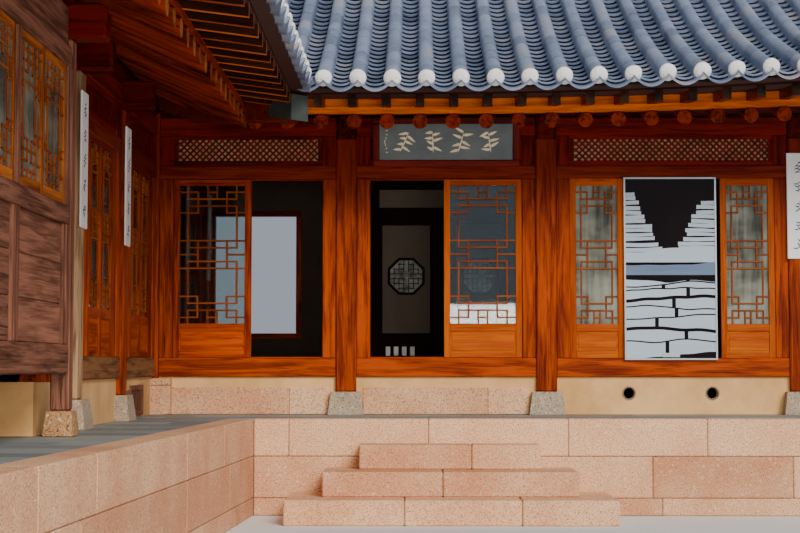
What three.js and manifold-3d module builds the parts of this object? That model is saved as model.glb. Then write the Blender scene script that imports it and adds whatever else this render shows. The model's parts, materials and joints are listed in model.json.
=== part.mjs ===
// A Korean timber house of two wings that meet at a right angle, on a granite platform.
// The main wing has three front bays with sliding doors, and the side wing ends in a
// raised room on free posts. Both wings carry one tiled roof with a valley inside the
// corner, a hip outside it, and a gable at each free end.
import * as THREE from 'three';
import { mergeVertices } from 'three/addons/utils/BufferGeometryUtils.js';
import Module from 'manifold-3d';

const wasm = await Module();
wasm.setup();

// Driving dimensions in millimetres. X runs right along the main wing, Y back through
// it and Z up from the ground. The main wing's front post line is Y = 0.
const GAP = 0.3;
const LAP = 1;
const FAR = 40000;

// Plan of the posts
const CORNER_X = -2860;
const AB_X = -760;
const BC_X = 1360;
const RIGHT_X = 4030;
const MAIN_DEPTH = 4200;
const WING_WIDTH = 4200;
const WEST_X = CORNER_X - WING_WIDTH;
const WING_POST_Y = [-1970, -3940];
const PAVILION_X = -2620;
const PAVILION_BACK_Y = -5200;
const PAVILION_FRONT_Y = -8280;
const POST = 215;
const PAVILION_POST = 140;

// Heights above the ground
const PLATFORM_TOP = 930;
const PLINTH_TOP = 1170;
const PAVILION_PLINTH_TOP = 1115;
const SILL_BOTTOM = 1326;
const SILL_TOP = 1524;
const LINTEL_BOTTOM = 3430;
const LINTEL_TOP = 3570;
const TRANSOM_BOTTOM = 3625;
const TRANSOM_TOP = 3853;
const BEAM_BOTTOM = 3890;
const PURLIN_BOTTOM = 4087;
const TIE_BOTTOM = 3860;
const TIE_TOP = 4130;
const FLOOR_TOP = 1490;
const FLOOR_THICK = 60;
const PAVILION_FLOOR_TOP = 1600;
const PAVILION_FLOOR_THICK = 60;

// Platform and steps. The side wing's stone face splays a little from its wall.
const PLATFORM_FRONT_Y = -1480;
const PLATFORM_BACK_Y = 5300;
const PLATFORM_RIGHT_X = 4960;
const PLATFORM_LEFT_X = -8160;
const WING_PLATFORM_FRONT_Y = -10400;
const WING_PLATFORM_INNER_X = -1590;
const WING_PLATFORM_OUTER_X = -2040;
const STEP_COUNT = 4;
const STEP_DEPTH = 330;
const STEP_CENTRE_X = 300;
const UPPER_STEP_WIDTH = 1720;
const PLINTH_BOTTOM_HALF = 190;
const PLINTH_TOP_HALF = 155;
const PAVILION_STONE_BOTTOM = 115;
const PAVILION_STONE_TOP = 95;

// Frames of the bays. The beam stands proud of sill and lintel, and the jambs lie back.
const FRAME_FRONT = -80;
const FRAME_BACK = 60;
const BEAM_PROUD = 5;
const JAMB_INSET = 5;
const JAMB = 145;
const WING_JAMB = 80;
const TRANSOM_INSET = 20;
const TRANSOM_MARGIN = 197;
const TRANSOM_RECESS = 30;
const WALL_HALF = 60;
const UNDER_WALL_HALF = 45;
const VENT_RADIUS = 60;
const VENT_SIDES = 12;
const VENT_X = [2230, 3110];
const VENT_Z = 1153;

// Door leaves. The sliding ones ride on low runners, one on each side of a guide strip.
const LEAF_THICK = 36;
const LEAF_WIDTH = 825;
const LEAF_CLEAR = 6;
const LEAF_SIDE_CLEAR = 5;
const LEAF_TALL = LINTEL_BOTTOM - SILL_TOP - 2 * LEAF_CLEAR;
const STILE = 65;
const PANEL_BOTTOM = 60;
const PANEL_TOP = 280;
const GLASS_BOTTOM = 360;
const GLASS_TOP = LEAF_TALL - 64;
const GLASS_THICK = 8;
const PANEL_THICK = 16;
const RUNNER_WIDTH = 16;
const FRONT_TRACK_Y = -50;
const REAR_TRACK_Y = 10;
const GUIDE_Y = -20;
const GUIDE_WIDTH = 12;
const GUIDE_TALL = 14;
const FIXED_LEAF_WIDTH = 570;
const WING_LEAVES = 4;
const WING_STILE = 42;
const WING_PANEL_TOP = 340;
const WING_GLASS_BOTTOM = 420;
const WING_TOP_RAIL = 60;
const WING_PANE_THICK = 10;

// Walls of the raised room, from the floor beam up. Each member has its own half thickness.
const PAVILION_BEAM_LOW = 1390;
const PAVILION_BOARD_TOP = 2480;
const PAVILION_WINDOW_Z = [2616, 3650];
const PAVILION_LINTEL_TOP = 3800;
const PAVILION_BEAM_HALF = 65;
const PAVILION_BOARD_HALF = 25;
const PAVILION_SILL_HALF = 60;
const PAVILION_JAMB_HALF = 55;
const PAVILION_LINTEL_HALF = 60;
const PAVILION_PANEL_HALF = 40;
const MULLION = 75;
const SIDE_JAMB = 70;
const WINDOW_LEAF_Y = [-35, -5];
const WINDOW_PANE_Y = [-24, -16];
const WINDOW_LOW_RAIL = 80;
const WINDOW_TOP_RAIL = 60;

// Back window, seen through the first bay
const WINDOW_X = [-2700, -1620];
const WINDOW_Z = [1870, 3430];

// Inner partition behind the second bay
const PARTITION_Y = 2100;
const PARTITION_HALF = 30;
const PAPER_RECESS = 12;
const DOOR_PAPER_WIDTH = 570;
const DOOR_PAPER_Z = [1720, 3000];
const UPPER_PAPER_Z = [3360, 3570];
const UPPER_PAPER_MARGIN = 200;
const OCTAGON_RADIUS = 240;
const OCTAGON_Z = 2510;
const PARTITION_CENTRE_X = 300;
const DOOR_OFFSET = 440;

// Boards and panels hung on the front
const NAME_BOARD_WIDTH = 1560;
const NAME_BOARD_TALL = 530;
const NAME_BOARD_THICK = 60;
const NAME_BOARD_LIP = 20;
const NAME_BOARD_BORDER = 75;
const NAME_BOARD_BOTTOM = 3560;
const NAME_BOARD_TILT = THREE.MathUtils.degToRad(12);
const PLAQUE = { width: 250, tall: 1125, thick: 18, bottom: 2570 };
const DISPLAY = { left: 2180, right: 3160, bottom: 1503, top: 3440, thick: 30, frame: 20, lip: 6 };

// Roof. Across each roof u runs from the eave edge, 0, up to the ridge, HALF_SPAN.
const OVERHANG = 1760;
const HALF_SPAN = 3860;
const GABLE_OVERHANG = 1070;
const RAFTER_PITCH = 330;
const RAFTER_PHASE = 32;
const RAFTER_RADIUS = 75;
const RAFTER_DEEP = 165;
const RAFTER_SIDES = 5;
const RAFTER_FOOT = 610;
const RAFTER_SLOPE = 0.445;
const RAFTER_FOOT_TOP = 3960;
const CORNER_RAFTERS = 11;
const FLYING_START = 120;
const FLYING_END = 1000;
const FLYING_SLOPE = 0.14;
const FLYING_TOP = 4040;
const FLYING_WIDTH = 80;
const FLYING_TALL = 90;
const FLYING_BOARDS_END = 1150;
const EAVE_UNDERSIDE = 4085;
const EDGE_BOARD_START = 125;
const CLEAR = 0.5;
const EAVE_LIFT = 210;
const LIFT_RUN = 5100;
const PURLIN_RADIUS = 120;
const RIDGE_PURLIN_RADIUS = 100;
const RIDGE_PURLIN_Z = 5122;
const TIE_WIDTH = 200;
const TIE_HEAD = 250;
const KING_POST_HALF = 50;
const KING_POST_REACH = 90;
const BARGE_OUTER = 100;
const BARGE_THICK = 50;
const BARGE_DEEP = 260;
const DIAGONAL_WIDTH = 200;
const DIAGONAL_TALL = 240;
const DIAGONAL_START = 130;
const HIP_TOP_DROP = [10, 44];
const CORNER_POST_TOP = RAFTER_FOOT_TOP - DIAGONAL_TALL
  + RAFTER_SLOPE * (OVERHANG - POST / 2 - RAFTER_FOOT) - 2;
const CORNER_BOARD = { half: 30, bottom: 3950, top: 4025, inset: 20, steps: 4 };
const TILE_TOP = { start: 4160, slope: 0.4, curve: 0.0000246 };
const UPPER_ROWS = [2400, 3100];
const RIDGE_TALL = 480;
const RIDGE_HALF = 140;
const RIDGE_SHOULDER = 100;
const RIDGE_CAP_HALF = 90;
const EDGE_RIDGE_HALF = 125;
const EDGE_RIDGE_TALL = 300;
const EDGE_RIDGE_INSET = 420;
const EDGE_RIDGE_START = 260;
const EDGE_RIDGE_SEAT = 9;
const HIP_SEAT_DROP = 31;
const GABLE_HALF = 60;
const GABLE_COVER_PROUD = 15;
const GABLE_COVER_LAP = 30;

const TIMBER = { color: 0xa8541c, roughness: 0.55, metalness: 0 };
const DOOR_TIMBER = { color: 0xb96a28, roughness: 0.5, metalness: 0 };
const OLD_TIMBER = { color: 0x6e4a3a, roughness: 0.75, metalness: 0 };
const PLASTER = { color: 0xcbab86, roughness: 0.9, metalness: 0 };
const GRANITE = { color: 0xd6a78a, roughness: 0.85, metalness: 0 };
const TILE = { color: 0x5b6673, roughness: 0.45, metalness: 0 };
const PAPER = { color: 0xd9cfb8, roughness: 0.9, metalness: 0 };
const BOARD_PAINT = { color: 0xefefec, roughness: 0.5, metalness: 0 };
const SIGN_PAINT = { color: 0x55606c, roughness: 0.5, metalness: 0 };
const SILVER = { color: 0xc3c6c9, roughness: 0.35, metalness: 0.9 };

const house = new THREE.Group();
const part = new THREE.Group();
part.add(house);

// Shapes

function box(x0, x1, y0, y1, z0, z1) {
  const shape = new THREE.BoxGeometry(x1 - x0, y1 - y0, z1 - z0);
  return shape.translate((x0 + x1) / 2, (y0 + y1) / 2, (z0 + z1) / 2);
}

// A flat outline carried through a row of stations. The outline's first number runs
// along the level direction `across`, and its second runs up.
function bar(stations, outline, across) {
  const flat = new THREE.Shape(outline.map(([a, b]) => new THREE.Vector2(a, b)));
  const steps = stations.length - 1;
  const shape = new THREE.ExtrudeGeometry(flat, { depth: steps, steps, bevelEnabled: false });
  const at = shape.attributes.position;
  for (let i = 0; i < at.count; i += 1) {
    const [x, y, z] = stations[Math.round(at.getZ(i))];
    const side = at.getX(i);
    at.setXYZ(i, x + across[0] * side, y + across[1] * side, z + at.getY(i));
  }
  return shape;
}

function rectangle(halfWidth, low, high) {
  return [[-halfWidth, low], [halfWidth, low], [halfWidth, high], [-halfWidth, high]];
}

// A regular polygon whose flats lie `radius` from its middle, with one flat at the bottom.
function roundSection(radius, sides) {
  const reach = radius / Math.cos(Math.PI / sides);
  return Array.from({ length: sides }, (_, k) => {
    const turn = (2 * Math.PI * (k + 0.5)) / sides - Math.PI / 2;
    return [reach * Math.cos(turn), reach * Math.sin(turn)];
  });
}

function signedVolume(points, faces) {
  const a = new THREE.Vector3();
  const b = new THREE.Vector3();
  const c = new THREE.Vector3();
  let volume = 0;
  for (let i = 0; i < faces.length; i += 3) {
    a.fromArray(points, 3 * faces[i]);
    b.fromArray(points, 3 * faces[i + 1]);
    c.fromArray(points, 3 * faces[i + 2]);
    volume += a.dot(b.cross(c)) / 6;
  }
  return volume;
}

function solid(geometry) {
  const bare = geometry.clone();
  bare.deleteAttribute('normal');
  bare.deleteAttribute('uv');
  const merged = mergeVertices(bare, 1e-3);
  const vertProperties = new Float32Array(merged.attributes.position.array);
  const triVerts = new Uint32Array(merged.index.array);
  if (signedVolume(vertProperties, triVerts) < 0) triVerts.reverse();
  return new wasm.Manifold(new wasm.Mesh({ numProp: 3, vertProperties, triVerts }));
}

function join(pieces) {
  return pieces.map(solid).reduce((whole, piece) => whole.add(piece));
}

function cut(whole, pieces) {
  return pieces.map(solid).reduce((left, piece) => left.subtract(piece), whole);
}

function surface(shape) {
  if (shape.isBufferGeometry) return surface(solid(shape));
  const mesh = shape.getMesh();
  const geometry = new THREE.BufferGeometry();
  geometry.setAttribute('position', new THREE.BufferAttribute(mesh.vertProperties, 3));
  geometry.setIndex(new THREE.BufferAttribute(mesh.triVerts, 1));
  geometry.computeVertexNormals();
  return geometry;
}

function add(name, shape, finish, [x, y, z] = [0, 0, 0], turn = [0, 0, 0]) {
  const mesh = new THREE.Mesh(surface(shape), new THREE.MeshStandardMaterial(finish));
  mesh.name = name;
  mesh.position.set(x, y, z);
  mesh.rotation.set(...turn);
  house.add(mesh);
}

// Stonework

function addPlatforms() {
  const inner = WING_PLATFORM_INNER_X;
  const outline = [
    [PLATFORM_LEFT_X, WING_PLATFORM_FRONT_Y], [WING_PLATFORM_OUTER_X, WING_PLATFORM_FRONT_Y],
    [inner, PLATFORM_FRONT_Y - GAP], [PLATFORM_LEFT_X, PLATFORM_FRONT_Y - GAP],
  ];
  const flat = new THREE.Shape(outline.map(([x, y]) => new THREE.Vector2(x, y)));
  const wing = new THREE.ExtrudeGeometry(flat, { depth: PLATFORM_TOP, bevelEnabled: false });
  const main = box(PLATFORM_LEFT_X, PLATFORM_RIGHT_X, PLATFORM_FRONT_Y, PLATFORM_BACK_Y,
    0, PLATFORM_TOP);
  add('platform_main', main, GRANITE);
  add('platform_wing', wing, GRANITE);
}

function addSteps() {
  const rise = PLATFORM_TOP / STEP_COUNT;
  ['lower_step', 'middle_step', 'upper_step'].forEach((name, level) => {
    const treads = STEP_COUNT - 1 - level;
    const width = UPPER_STEP_WIDTH + 2 * STEP_DEPTH * (treads - 1);
    const deep = STEP_DEPTH * treads - GAP;
    const tall = rise - (level > 0 ? GAP : 0);
    const place = [STEP_CENTRE_X, PLATFORM_FRONT_Y - GAP - deep / 2, rise * (level + 1) - tall / 2];
    add(name, new THREE.BoxGeometry(width, deep, tall), GRANITE, place);
  });
}

function taperedBlock(bottomHalf, topHalf, tall) {
  const shape = new THREE.BoxGeometry(2, 2, tall);
  const at = shape.attributes.position;
  for (let i = 0; i < at.count; i += 1) {
    const half = at.getZ(i) > 0 ? topHalf : bottomHalf;
    at.setXYZ(i, at.getX(i) * half, at.getY(i) * half, at.getZ(i) + tall / 2);
  }
  return shape;
}

function plinth(x, y, grow = 0) {
  const tall = PLINTH_TOP - PLATFORM_TOP - GAP + grow;
  const block = taperedBlock(PLINTH_BOTTOM_HALF + grow, PLINTH_TOP_HALF + grow, tall);
  return block.translate(x, y, PLATFORM_TOP + GAP);
}

function postSpace(x, y) {
  const reach = POST / 2 + GAP;
  return box(x - reach, x + reach, y - reach, y + reach, PLINTH_TOP - LAP, PURLIN_BOTTOM + POST);
}

function addFrontBase() {
  const lines = [CORNER_X, AB_X, BC_X, RIGHT_X];
  const wall = box(CORNER_X, RIGHT_X, -UNDER_WALL_HALF, UNDER_WALL_HALF,
    PLATFORM_TOP + GAP, SILL_BOTTOM - GAP);
  const vents = VENT_X.map((x) => (
    new THREE.CylinderGeometry(VENT_RADIUS, VENT_RADIUS, POST, VENT_SIDES).translate(x, 0, VENT_Z)
  ));
  const stones = lines.map((x) => plinth(x, 0));
  const spaces = lines.map((x) => postSpace(x, 0));
  add('base_main_front', cut(join([wall, ...stones]), [...vents, ...spaces]), PLASTER);
}

function addWingBase() {
  const bottom = PLATFORM_TOP + GAP;
  const half = UNDER_WALL_HALF;
  const wall = box(CORNER_X - half, CORNER_X + half, PAVILION_BACK_Y - half, 0,
    bottom, SILL_BOTTOM - GAP);
  const end = box(WEST_X + WALL_HALF + GAP, CORNER_X, PAVILION_BACK_Y - half,
    PAVILION_BACK_Y + half, bottom, SILL_BOTTOM - GAP);
  const stones = WING_POST_Y.map((y) => plinth(CORNER_X, y));
  const spaces = WING_POST_Y.map((y) => postSpace(CORNER_X, y));
  const corner = [plinth(CORNER_X, 0, GAP), postSpace(CORNER_X, 0)];
  const stone = PAVILION_STONE_BOTTOM + GAP;
  const pavilionSpace = box(WEST_X - stone, WEST_X + stone, PAVILION_BACK_Y - stone,
    PAVILION_BACK_Y + stone, PLATFORM_TOP, SILL_TOP);
  add('base_wing', cut(join([wall, end, ...stones]), [...spaces, ...corner, pavilionSpace]),
    PLASTER);
}

const pavilionCorners = [
  ['east_back', PAVILION_X, PAVILION_BACK_Y], ['east_front', PAVILION_X, PAVILION_FRONT_Y],
  ['west_back', WEST_X, PAVILION_BACK_Y], ['west_front', WEST_X, PAVILION_FRONT_Y],
];

function addPavilionStones() {
  const tall = PAVILION_PLINTH_TOP - PLATFORM_TOP - GAP;
  for (const [name, x, y] of pavilionCorners) {
    const block = taperedBlock(PAVILION_STONE_BOTTOM, PAVILION_STONE_TOP, tall);
    add(`pavilion_stone_${name}`, block, GRANITE, [x, y, PLATFORM_TOP + GAP]);
  }
}

// Posts and floors

function addPost(name, x, y, width, bottom, top) {
  const tall = top - bottom - 2 * GAP;
  add(name, new THREE.BoxGeometry(width, width, tall), TIMBER, [x, y, (bottom + top) / 2]);
}

function addPosts() {
  addPost('post_corner', CORNER_X, 0, POST, PLINTH_TOP, CORNER_POST_TOP);
  addPost('post_ab', AB_X, 0, POST, PLINTH_TOP, TIE_BOTTOM);
  addPost('post_bc', BC_X, 0, POST, PLINTH_TOP, TIE_BOTTOM);
  addPost('post_right', RIGHT_X, 0, POST, PLINTH_TOP, TIE_BOTTOM);
  WING_POST_Y.forEach((y, k) => {
    addPost(`post_wing_${k + 1}`, CORNER_X, y, POST, PLINTH_TOP, TIE_BOTTOM);
  });
  for (const [name, x, y] of pavilionCorners) {
    addPost(`pavilion_post_${name}`, x, y, PAVILION_POST, PAVILION_PLINTH_TOP, TIE_BOTTOM);
  }
}

function addFloors() {
  const bottom = FLOOR_TOP - FLOOR_THICK;
  const west = WEST_X + WALL_HALF + GAP;
  const back = MAIN_DEPTH - WALL_HALF - GAP;
  const frontLine = FRAME_BACK + GAP;
  const postBacks = [CORNER_X, AB_X, BC_X, RIGHT_X].map((x) => postSpace(x, 0));
  const backPosts = [WEST_X, CORNER_X, AB_X, BC_X, RIGHT_X].map((x) => postSpace(x, MAIN_DEPTH));
  const main = box(west, RIGHT_X - WALL_HALF - GAP, frontLine, back, bottom, FLOOR_TOP);
  add('floor_main', cut(solid(main), [...postBacks, ...backPosts]), DOOR_TIMBER);

  const end = PAVILION_BACK_Y + UNDER_WALL_HALF + GAP;
  const wing = box(west, CORNER_X - FRAME_BACK - GAP, end, frontLine - GAP, bottom, FLOOR_TOP);
  const sidePosts = [...WING_POST_Y, PAVILION_BACK_Y].map((y) => postSpace(WEST_X, y));
  const innerPosts = [0, ...WING_POST_Y].map((y) => postSpace(CORNER_X, y));
  add('floor_wing', cut(solid(wing), [...sidePosts, ...innerPosts]), DOOR_TIMBER);

  const inside = PAVILION_BEAM_HALF + GAP;
  const room = box(WEST_X + inside, PAVILION_X - inside, PAVILION_FRONT_Y + inside,
    PAVILION_BACK_Y - WALL_HALF - GAP,
    PAVILION_FLOOR_TOP - PAVILION_FLOOR_THICK, PAVILION_FLOOR_TOP);
  const corners = pavilionCorners.map(([, x, y]) => {
    const reach = PAVILION_POST / 2 + GAP;
    return box(x - reach, x + reach, y - reach, y + reach, 0, TIE_BOTTOM);
  });
  add('floor_pavilion', cut(solid(room), corners), OLD_TIMBER);
}

// Bay frames: sill, two jambs, lintel, transom and upper beam, in one plane. They are
// made along X from `start` to `end`, with the front face at negative Y.

function bayFrame(start, end, { jamb = JAMB, tracks = false } = {}) {
  const member = (x0, x1, inset, z0, z1) => (
    box(x0, x1, FRAME_FRONT + inset, FRAME_BACK - inset, z0, z1)
  );
  const pieces = [
    member(start, end, 0, SILL_BOTTOM, SILL_TOP),
    member(start, start + jamb, JAMB_INSET, SILL_TOP - LAP, BEAM_BOTTOM + LAP),
    member(end - jamb, end, JAMB_INSET, SILL_TOP - LAP, BEAM_BOTTOM + LAP),
    member(start, end, 0, LINTEL_BOTTOM, LINTEL_TOP),
    member(start + LAP, end - LAP, TRANSOM_INSET, LINTEL_TOP - LAP, BEAM_BOTTOM + LAP),
    member(start, end, -BEAM_PROUD, BEAM_BOTTOM, PURLIN_BOTTOM - GAP),
  ];
  if (tracks) pieces.push(...slidingTracks(start + LAP, end - LAP));
  const front = FRAME_FRONT + TRANSOM_INSET;
  const lattice = box(start + TRANSOM_MARGIN, end - TRANSOM_MARGIN, FRAME_FRONT - POST,
    front + TRANSOM_RECESS, TRANSOM_BOTTOM, TRANSOM_TOP);
  return cut(join(pieces), [lattice]);
}

// A guide strip on the sill and one under the lintel, between the two rows of leaves, and
// a low runner under each row.
function slidingTracks(start, end) {
  const strip = (middle, width, z0, z1) => (
    box(start, end, middle - width / 2, middle + width / 2, z0, z1)
  );
  const runnerTop = SILL_TOP + LEAF_CLEAR - GAP;
  return [
    strip(GUIDE_Y, GUIDE_WIDTH, SILL_TOP - LAP, SILL_TOP + GUIDE_TALL),
    strip(GUIDE_Y, GUIDE_WIDTH, LINTEL_BOTTOM - GUIDE_TALL, LINTEL_BOTTOM + LAP),
    strip(FRONT_TRACK_Y, RUNNER_WIDTH, SILL_TOP - LAP, runnerTop),
    strip(REAR_TRACK_Y, RUNNER_WIDTH, SILL_TOP - LAP, runnerTop),
  ];
}

// A door or window leaf with its lower left corner at the origin. Each opening in
// `panes` is [left, right, bottom, top, thickness left in the middle].
function leaf(width, tall, panes) {
  const half = LEAF_THICK / 2;
  const pockets = [];
  for (const [left, right, bottom, top, core] of panes) {
    pockets.push(box(left, right, -half - LAP, -core / 2, bottom, top));
    pockets.push(box(left, right, core / 2, half + LAP, bottom, top));
  }
  return cut(solid(box(0, width, -half, half, 0, tall)), pockets);
}

function glazedLeaf(width, tall = LEAF_TALL) {
  return leaf(width, tall, [
    [STILE, width - STILE, GLASS_BOTTOM, GLASS_TOP, GLASS_THICK],
    [STILE, width - STILE, PANEL_BOTTOM, PANEL_TOP, PANEL_THICK],
  ]);
}

function addMainBays() {
  const face = POST / 2 + GAP;
  add('frame_bay_a', bayFrame(CORNER_X + face, AB_X - face, { tracks: true }), TIMBER);
  add('frame_bay_b', bayFrame(AB_X + face, BC_X - face, { tracks: true }), TIMBER);
  add('frame_bay_c', bayFrame(BC_X + face, RIGHT_X - face), TIMBER);

  const bottom = SILL_TOP + LEAF_CLEAR;
  const leftRest = CORNER_X + face + JAMB + LEAF_SIDE_CLEAR;
  const rightRest = BC_X - face - JAMB - LEAF_SIDE_CLEAR - LEAF_WIDTH;
  add('leaf_a_front', glazedLeaf(LEAF_WIDTH), DOOR_TIMBER, [leftRest, FRONT_TRACK_Y, bottom]);
  add('leaf_a_rear', glazedLeaf(LEAF_WIDTH), DOOR_TIMBER, [leftRest, REAR_TRACK_Y, bottom]);
  add('leaf_b_front', glazedLeaf(LEAF_WIDTH), DOOR_TIMBER, [rightRest, FRONT_TRACK_Y, bottom]);
  add('leaf_b_rear', glazedLeaf(LEAF_WIDTH), DOOR_TIMBER, [rightRest, REAR_TRACK_Y, bottom]);

  const fixedTall = LINTEL_BOTTOM - SILL_TOP - 2 * GAP;
  const fixedLeft = BC_X + face + JAMB + GAP;
  const fixedRight = RIGHT_X - face - JAMB - GAP - FIXED_LEAF_WIDTH;
  const fixedBottom = SILL_TOP + GAP;
  add('leaf_c_left', glazedLeaf(FIXED_LEAF_WIDTH, fixedTall), DOOR_TIMBER,
    [fixedLeft, FRONT_TRACK_Y, fixedBottom]);
  add('leaf_c_right', glazedLeaf(FIXED_LEAF_WIDTH, fixedTall), DOOR_TIMBER,
    [fixedRight, FRONT_TRACK_Y, fixedBottom]);
}

// The side wing's bays face +X. Each is made facing -Y along X and then turned.

const FACE_EAST = Math.PI / 2;

function closedLeaves(start, end, bottom, top, count, panes) {
  const width = (end - start) / count;
  const half = LEAF_THICK / 2;
  const core = WING_PANE_THICK / 2;
  const y = FRONT_TRACK_Y;
  const slab = box(start - LAP, end + LAP, y - half, y + half, bottom - LAP, top + LAP);
  const pockets = [];
  for (let k = 0; k < count; k += 1) {
    const left = start + k * width + WING_STILE;
    const right = start + (k + 1) * width - WING_STILE;
    for (const [low, high] of panes) {
      pockets.push(box(left, right, y - half - LAP, y - core, low, high));
      pockets.push(box(left, right, y + core, y + half + LAP, low, high));
    }
  }
  return cut(solid(slab), pockets);
}

function addWingBays() {
  const face = POST / 2 + GAP;
  const spans = [[WING_POST_Y[0] + face, -face], [WING_POST_Y[1] + face, WING_POST_Y[0] - face]];
  const panes = [
    [SILL_TOP + PANEL_BOTTOM, SILL_TOP + WING_PANEL_TOP],
    [SILL_TOP + WING_GLASS_BOTTOM, LINTEL_BOTTOM - WING_TOP_RAIL],
  ];
  spans.forEach(([y0, y1], k) => {
    const length = y1 - y0;
    const frame = bayFrame(0, length, { jamb: WING_JAMB });
    const doors = closedLeaves(WING_JAMB, length - WING_JAMB, SILL_TOP, LINTEL_BOTTOM,
      WING_LEAVES, panes);
    add(`wing_door_bay_${k + 1}`, frame.add(doors), DOOR_TIMBER, [CORNER_X, y0, 0],
      [0, 0, FACE_EAST]);
  });
  const y0 = PAVILION_BACK_Y - WALL_HALF;
  const wall = box(CORNER_X - WALL_HALF, CORNER_X + WALL_HALF, y0,
    WING_POST_Y[1] - face, SILL_BOTTOM, TIE_BOTTOM - GAP);
  const back = box(CORNER_X, PAVILION_X - PAVILION_POST / 2 - GAP, y0,
    PAVILION_BACK_Y + WALL_HALF, SILL_BOTTOM, TIE_BOTTOM - GAP);
  add('wing_end_wall', join([wall, back]), TIMBER);
}

// Raised room: floor beam, boards, sill beam, windows, lintel and upper panel. Each wall
// is made along X, facing -Y, from 0 to `length`.

function pavilionWall(length, pairs, top) {
  const bay = (length - 2 * SIDE_JAMB - (pairs - 1) * MULLION) / pairs;
  const besideTie = (TIE_WIDTH - PAVILION_POST) / 2 + GAP;
  const [windowLow, windowHigh] = PAVILION_WINDOW_Z;
  const member = (x0, x1, half, z0, z1) => box(x0, x1, -half, half, z0, z1);
  const jamb = (x) => member(x, x + SIDE_JAMB, PAVILION_JAMB_HALF, PAVILION_FLOOR_TOP - LAP,
    windowHigh + LAP);
  const panel = (inset, z0, z1) => member(inset, length - inset, PAVILION_PANEL_HALF, z0, z1);
  const pieces = [
    member(0, length, PAVILION_BEAM_HALF, PAVILION_BEAM_LOW, PAVILION_FLOOR_TOP),
    member(0, length, PAVILION_BOARD_HALF, PAVILION_FLOOR_TOP - LAP, PAVILION_BOARD_TOP + LAP),
    member(0, length, PAVILION_SILL_HALF, PAVILION_BOARD_TOP, windowLow),
    jamb(0),
    jamb(length - SIDE_JAMB),
    member(0, length, PAVILION_LINTEL_HALF, windowHigh, PAVILION_LINTEL_TOP),
    panel(0, PAVILION_LINTEL_TOP - LAP, TIE_BOTTOM - GAP),
    panel(besideTie, PAVILION_LINTEL_TOP, top),
    box(SIDE_JAMB - LAP, length - SIDE_JAMB + LAP, ...WINDOW_LEAF_Y, windowLow - LAP,
      windowHigh + LAP),
  ];
  for (let k = 1; k < pairs; k += 1) {
    const x = SIDE_JAMB + k * (bay + MULLION) - MULLION;
    pieces.push(member(x, x + MULLION, PAVILION_JAMB_HALF, windowLow - LAP, windowHigh + LAP));
  }
  return cut(join(pieces), windowPockets(bay, pairs));
}

// Sunk panes, on both faces, of the two leaves in each window of the raised room.
function windowPockets(bay, pairs) {
  const [outer, inner] = WINDOW_LEAF_Y;
  const [paneOuter, paneInner] = WINDOW_PANE_Y;
  const low = PAVILION_WINDOW_Z[0] + WINDOW_LOW_RAIL;
  const high = PAVILION_WINDOW_Z[1] - WINDOW_TOP_RAIL;
  const pockets = [];
  for (let k = 0; k < 2 * pairs; k += 1) {
    const window = Math.floor(k / 2);
    const left = SIDE_JAMB + window * (bay + MULLION) + ((k % 2) * bay) / 2;
    const start = left + WING_STILE;
    const end = left + bay / 2 - WING_STILE;
    pockets.push(box(start, end, outer - LAP, paneOuter, low, high));
    pockets.push(box(start, end, paneInner, inner + LAP, low, high));
  }
  return pockets;
}

function addPavilionWalls() {
  const face = PAVILION_POST / 2 + GAP;
  const sideLength = PAVILION_BACK_Y - PAVILION_FRONT_Y - 2 * face;
  const frontLength = PAVILION_X - WEST_X - 2 * face;
  const underPurlin = PURLIN_BOTTOM - GAP;
  const underTie = TIE_BOTTOM - GAP;
  add('pavilion_wall_east', pavilionWall(sideLength, 2, underPurlin), OLD_TIMBER,
    [PAVILION_X, PAVILION_FRONT_Y + face, 0], [0, 0, FACE_EAST]);
  add('pavilion_wall_west', pavilionWall(sideLength, 2, underPurlin), OLD_TIMBER,
    [WEST_X, PAVILION_BACK_Y - face, 0], [0, 0, -FACE_EAST]);
  add('pavilion_wall_front', pavilionWall(frontLength, 3, underTie), OLD_TIMBER,
    [WEST_X + face, PAVILION_FRONT_Y, 0]);
}

// Outer walls, with their posts, from the platform to the purlins

function tieSpace(x0, x1, y0, y1) {
  return box(x0, x1, y0, y1, TIE_BOTTOM - GAP, FAR);
}

function mainTieSpaces() {
  const half = TIE_WIDTH / 2 + GAP;
  return [AB_X, BC_X, RIGHT_X].map((x) => tieSpace(x - half, x + half, -FAR, FAR));
}

function wingTieSpaces() {
  const half = TIE_WIDTH / 2 + GAP;
  return [...WING_POST_Y, PAVILION_BACK_Y].map((y) => tieSpace(-FAR, FAR, y - half, y + half));
}

function wallPost(x, y, top = PURLIN_BOTTOM - GAP) {
  const half = POST / 2;
  return box(x - half, x + half, y - half, y + half, PLATFORM_TOP + GAP, top);
}

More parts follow.
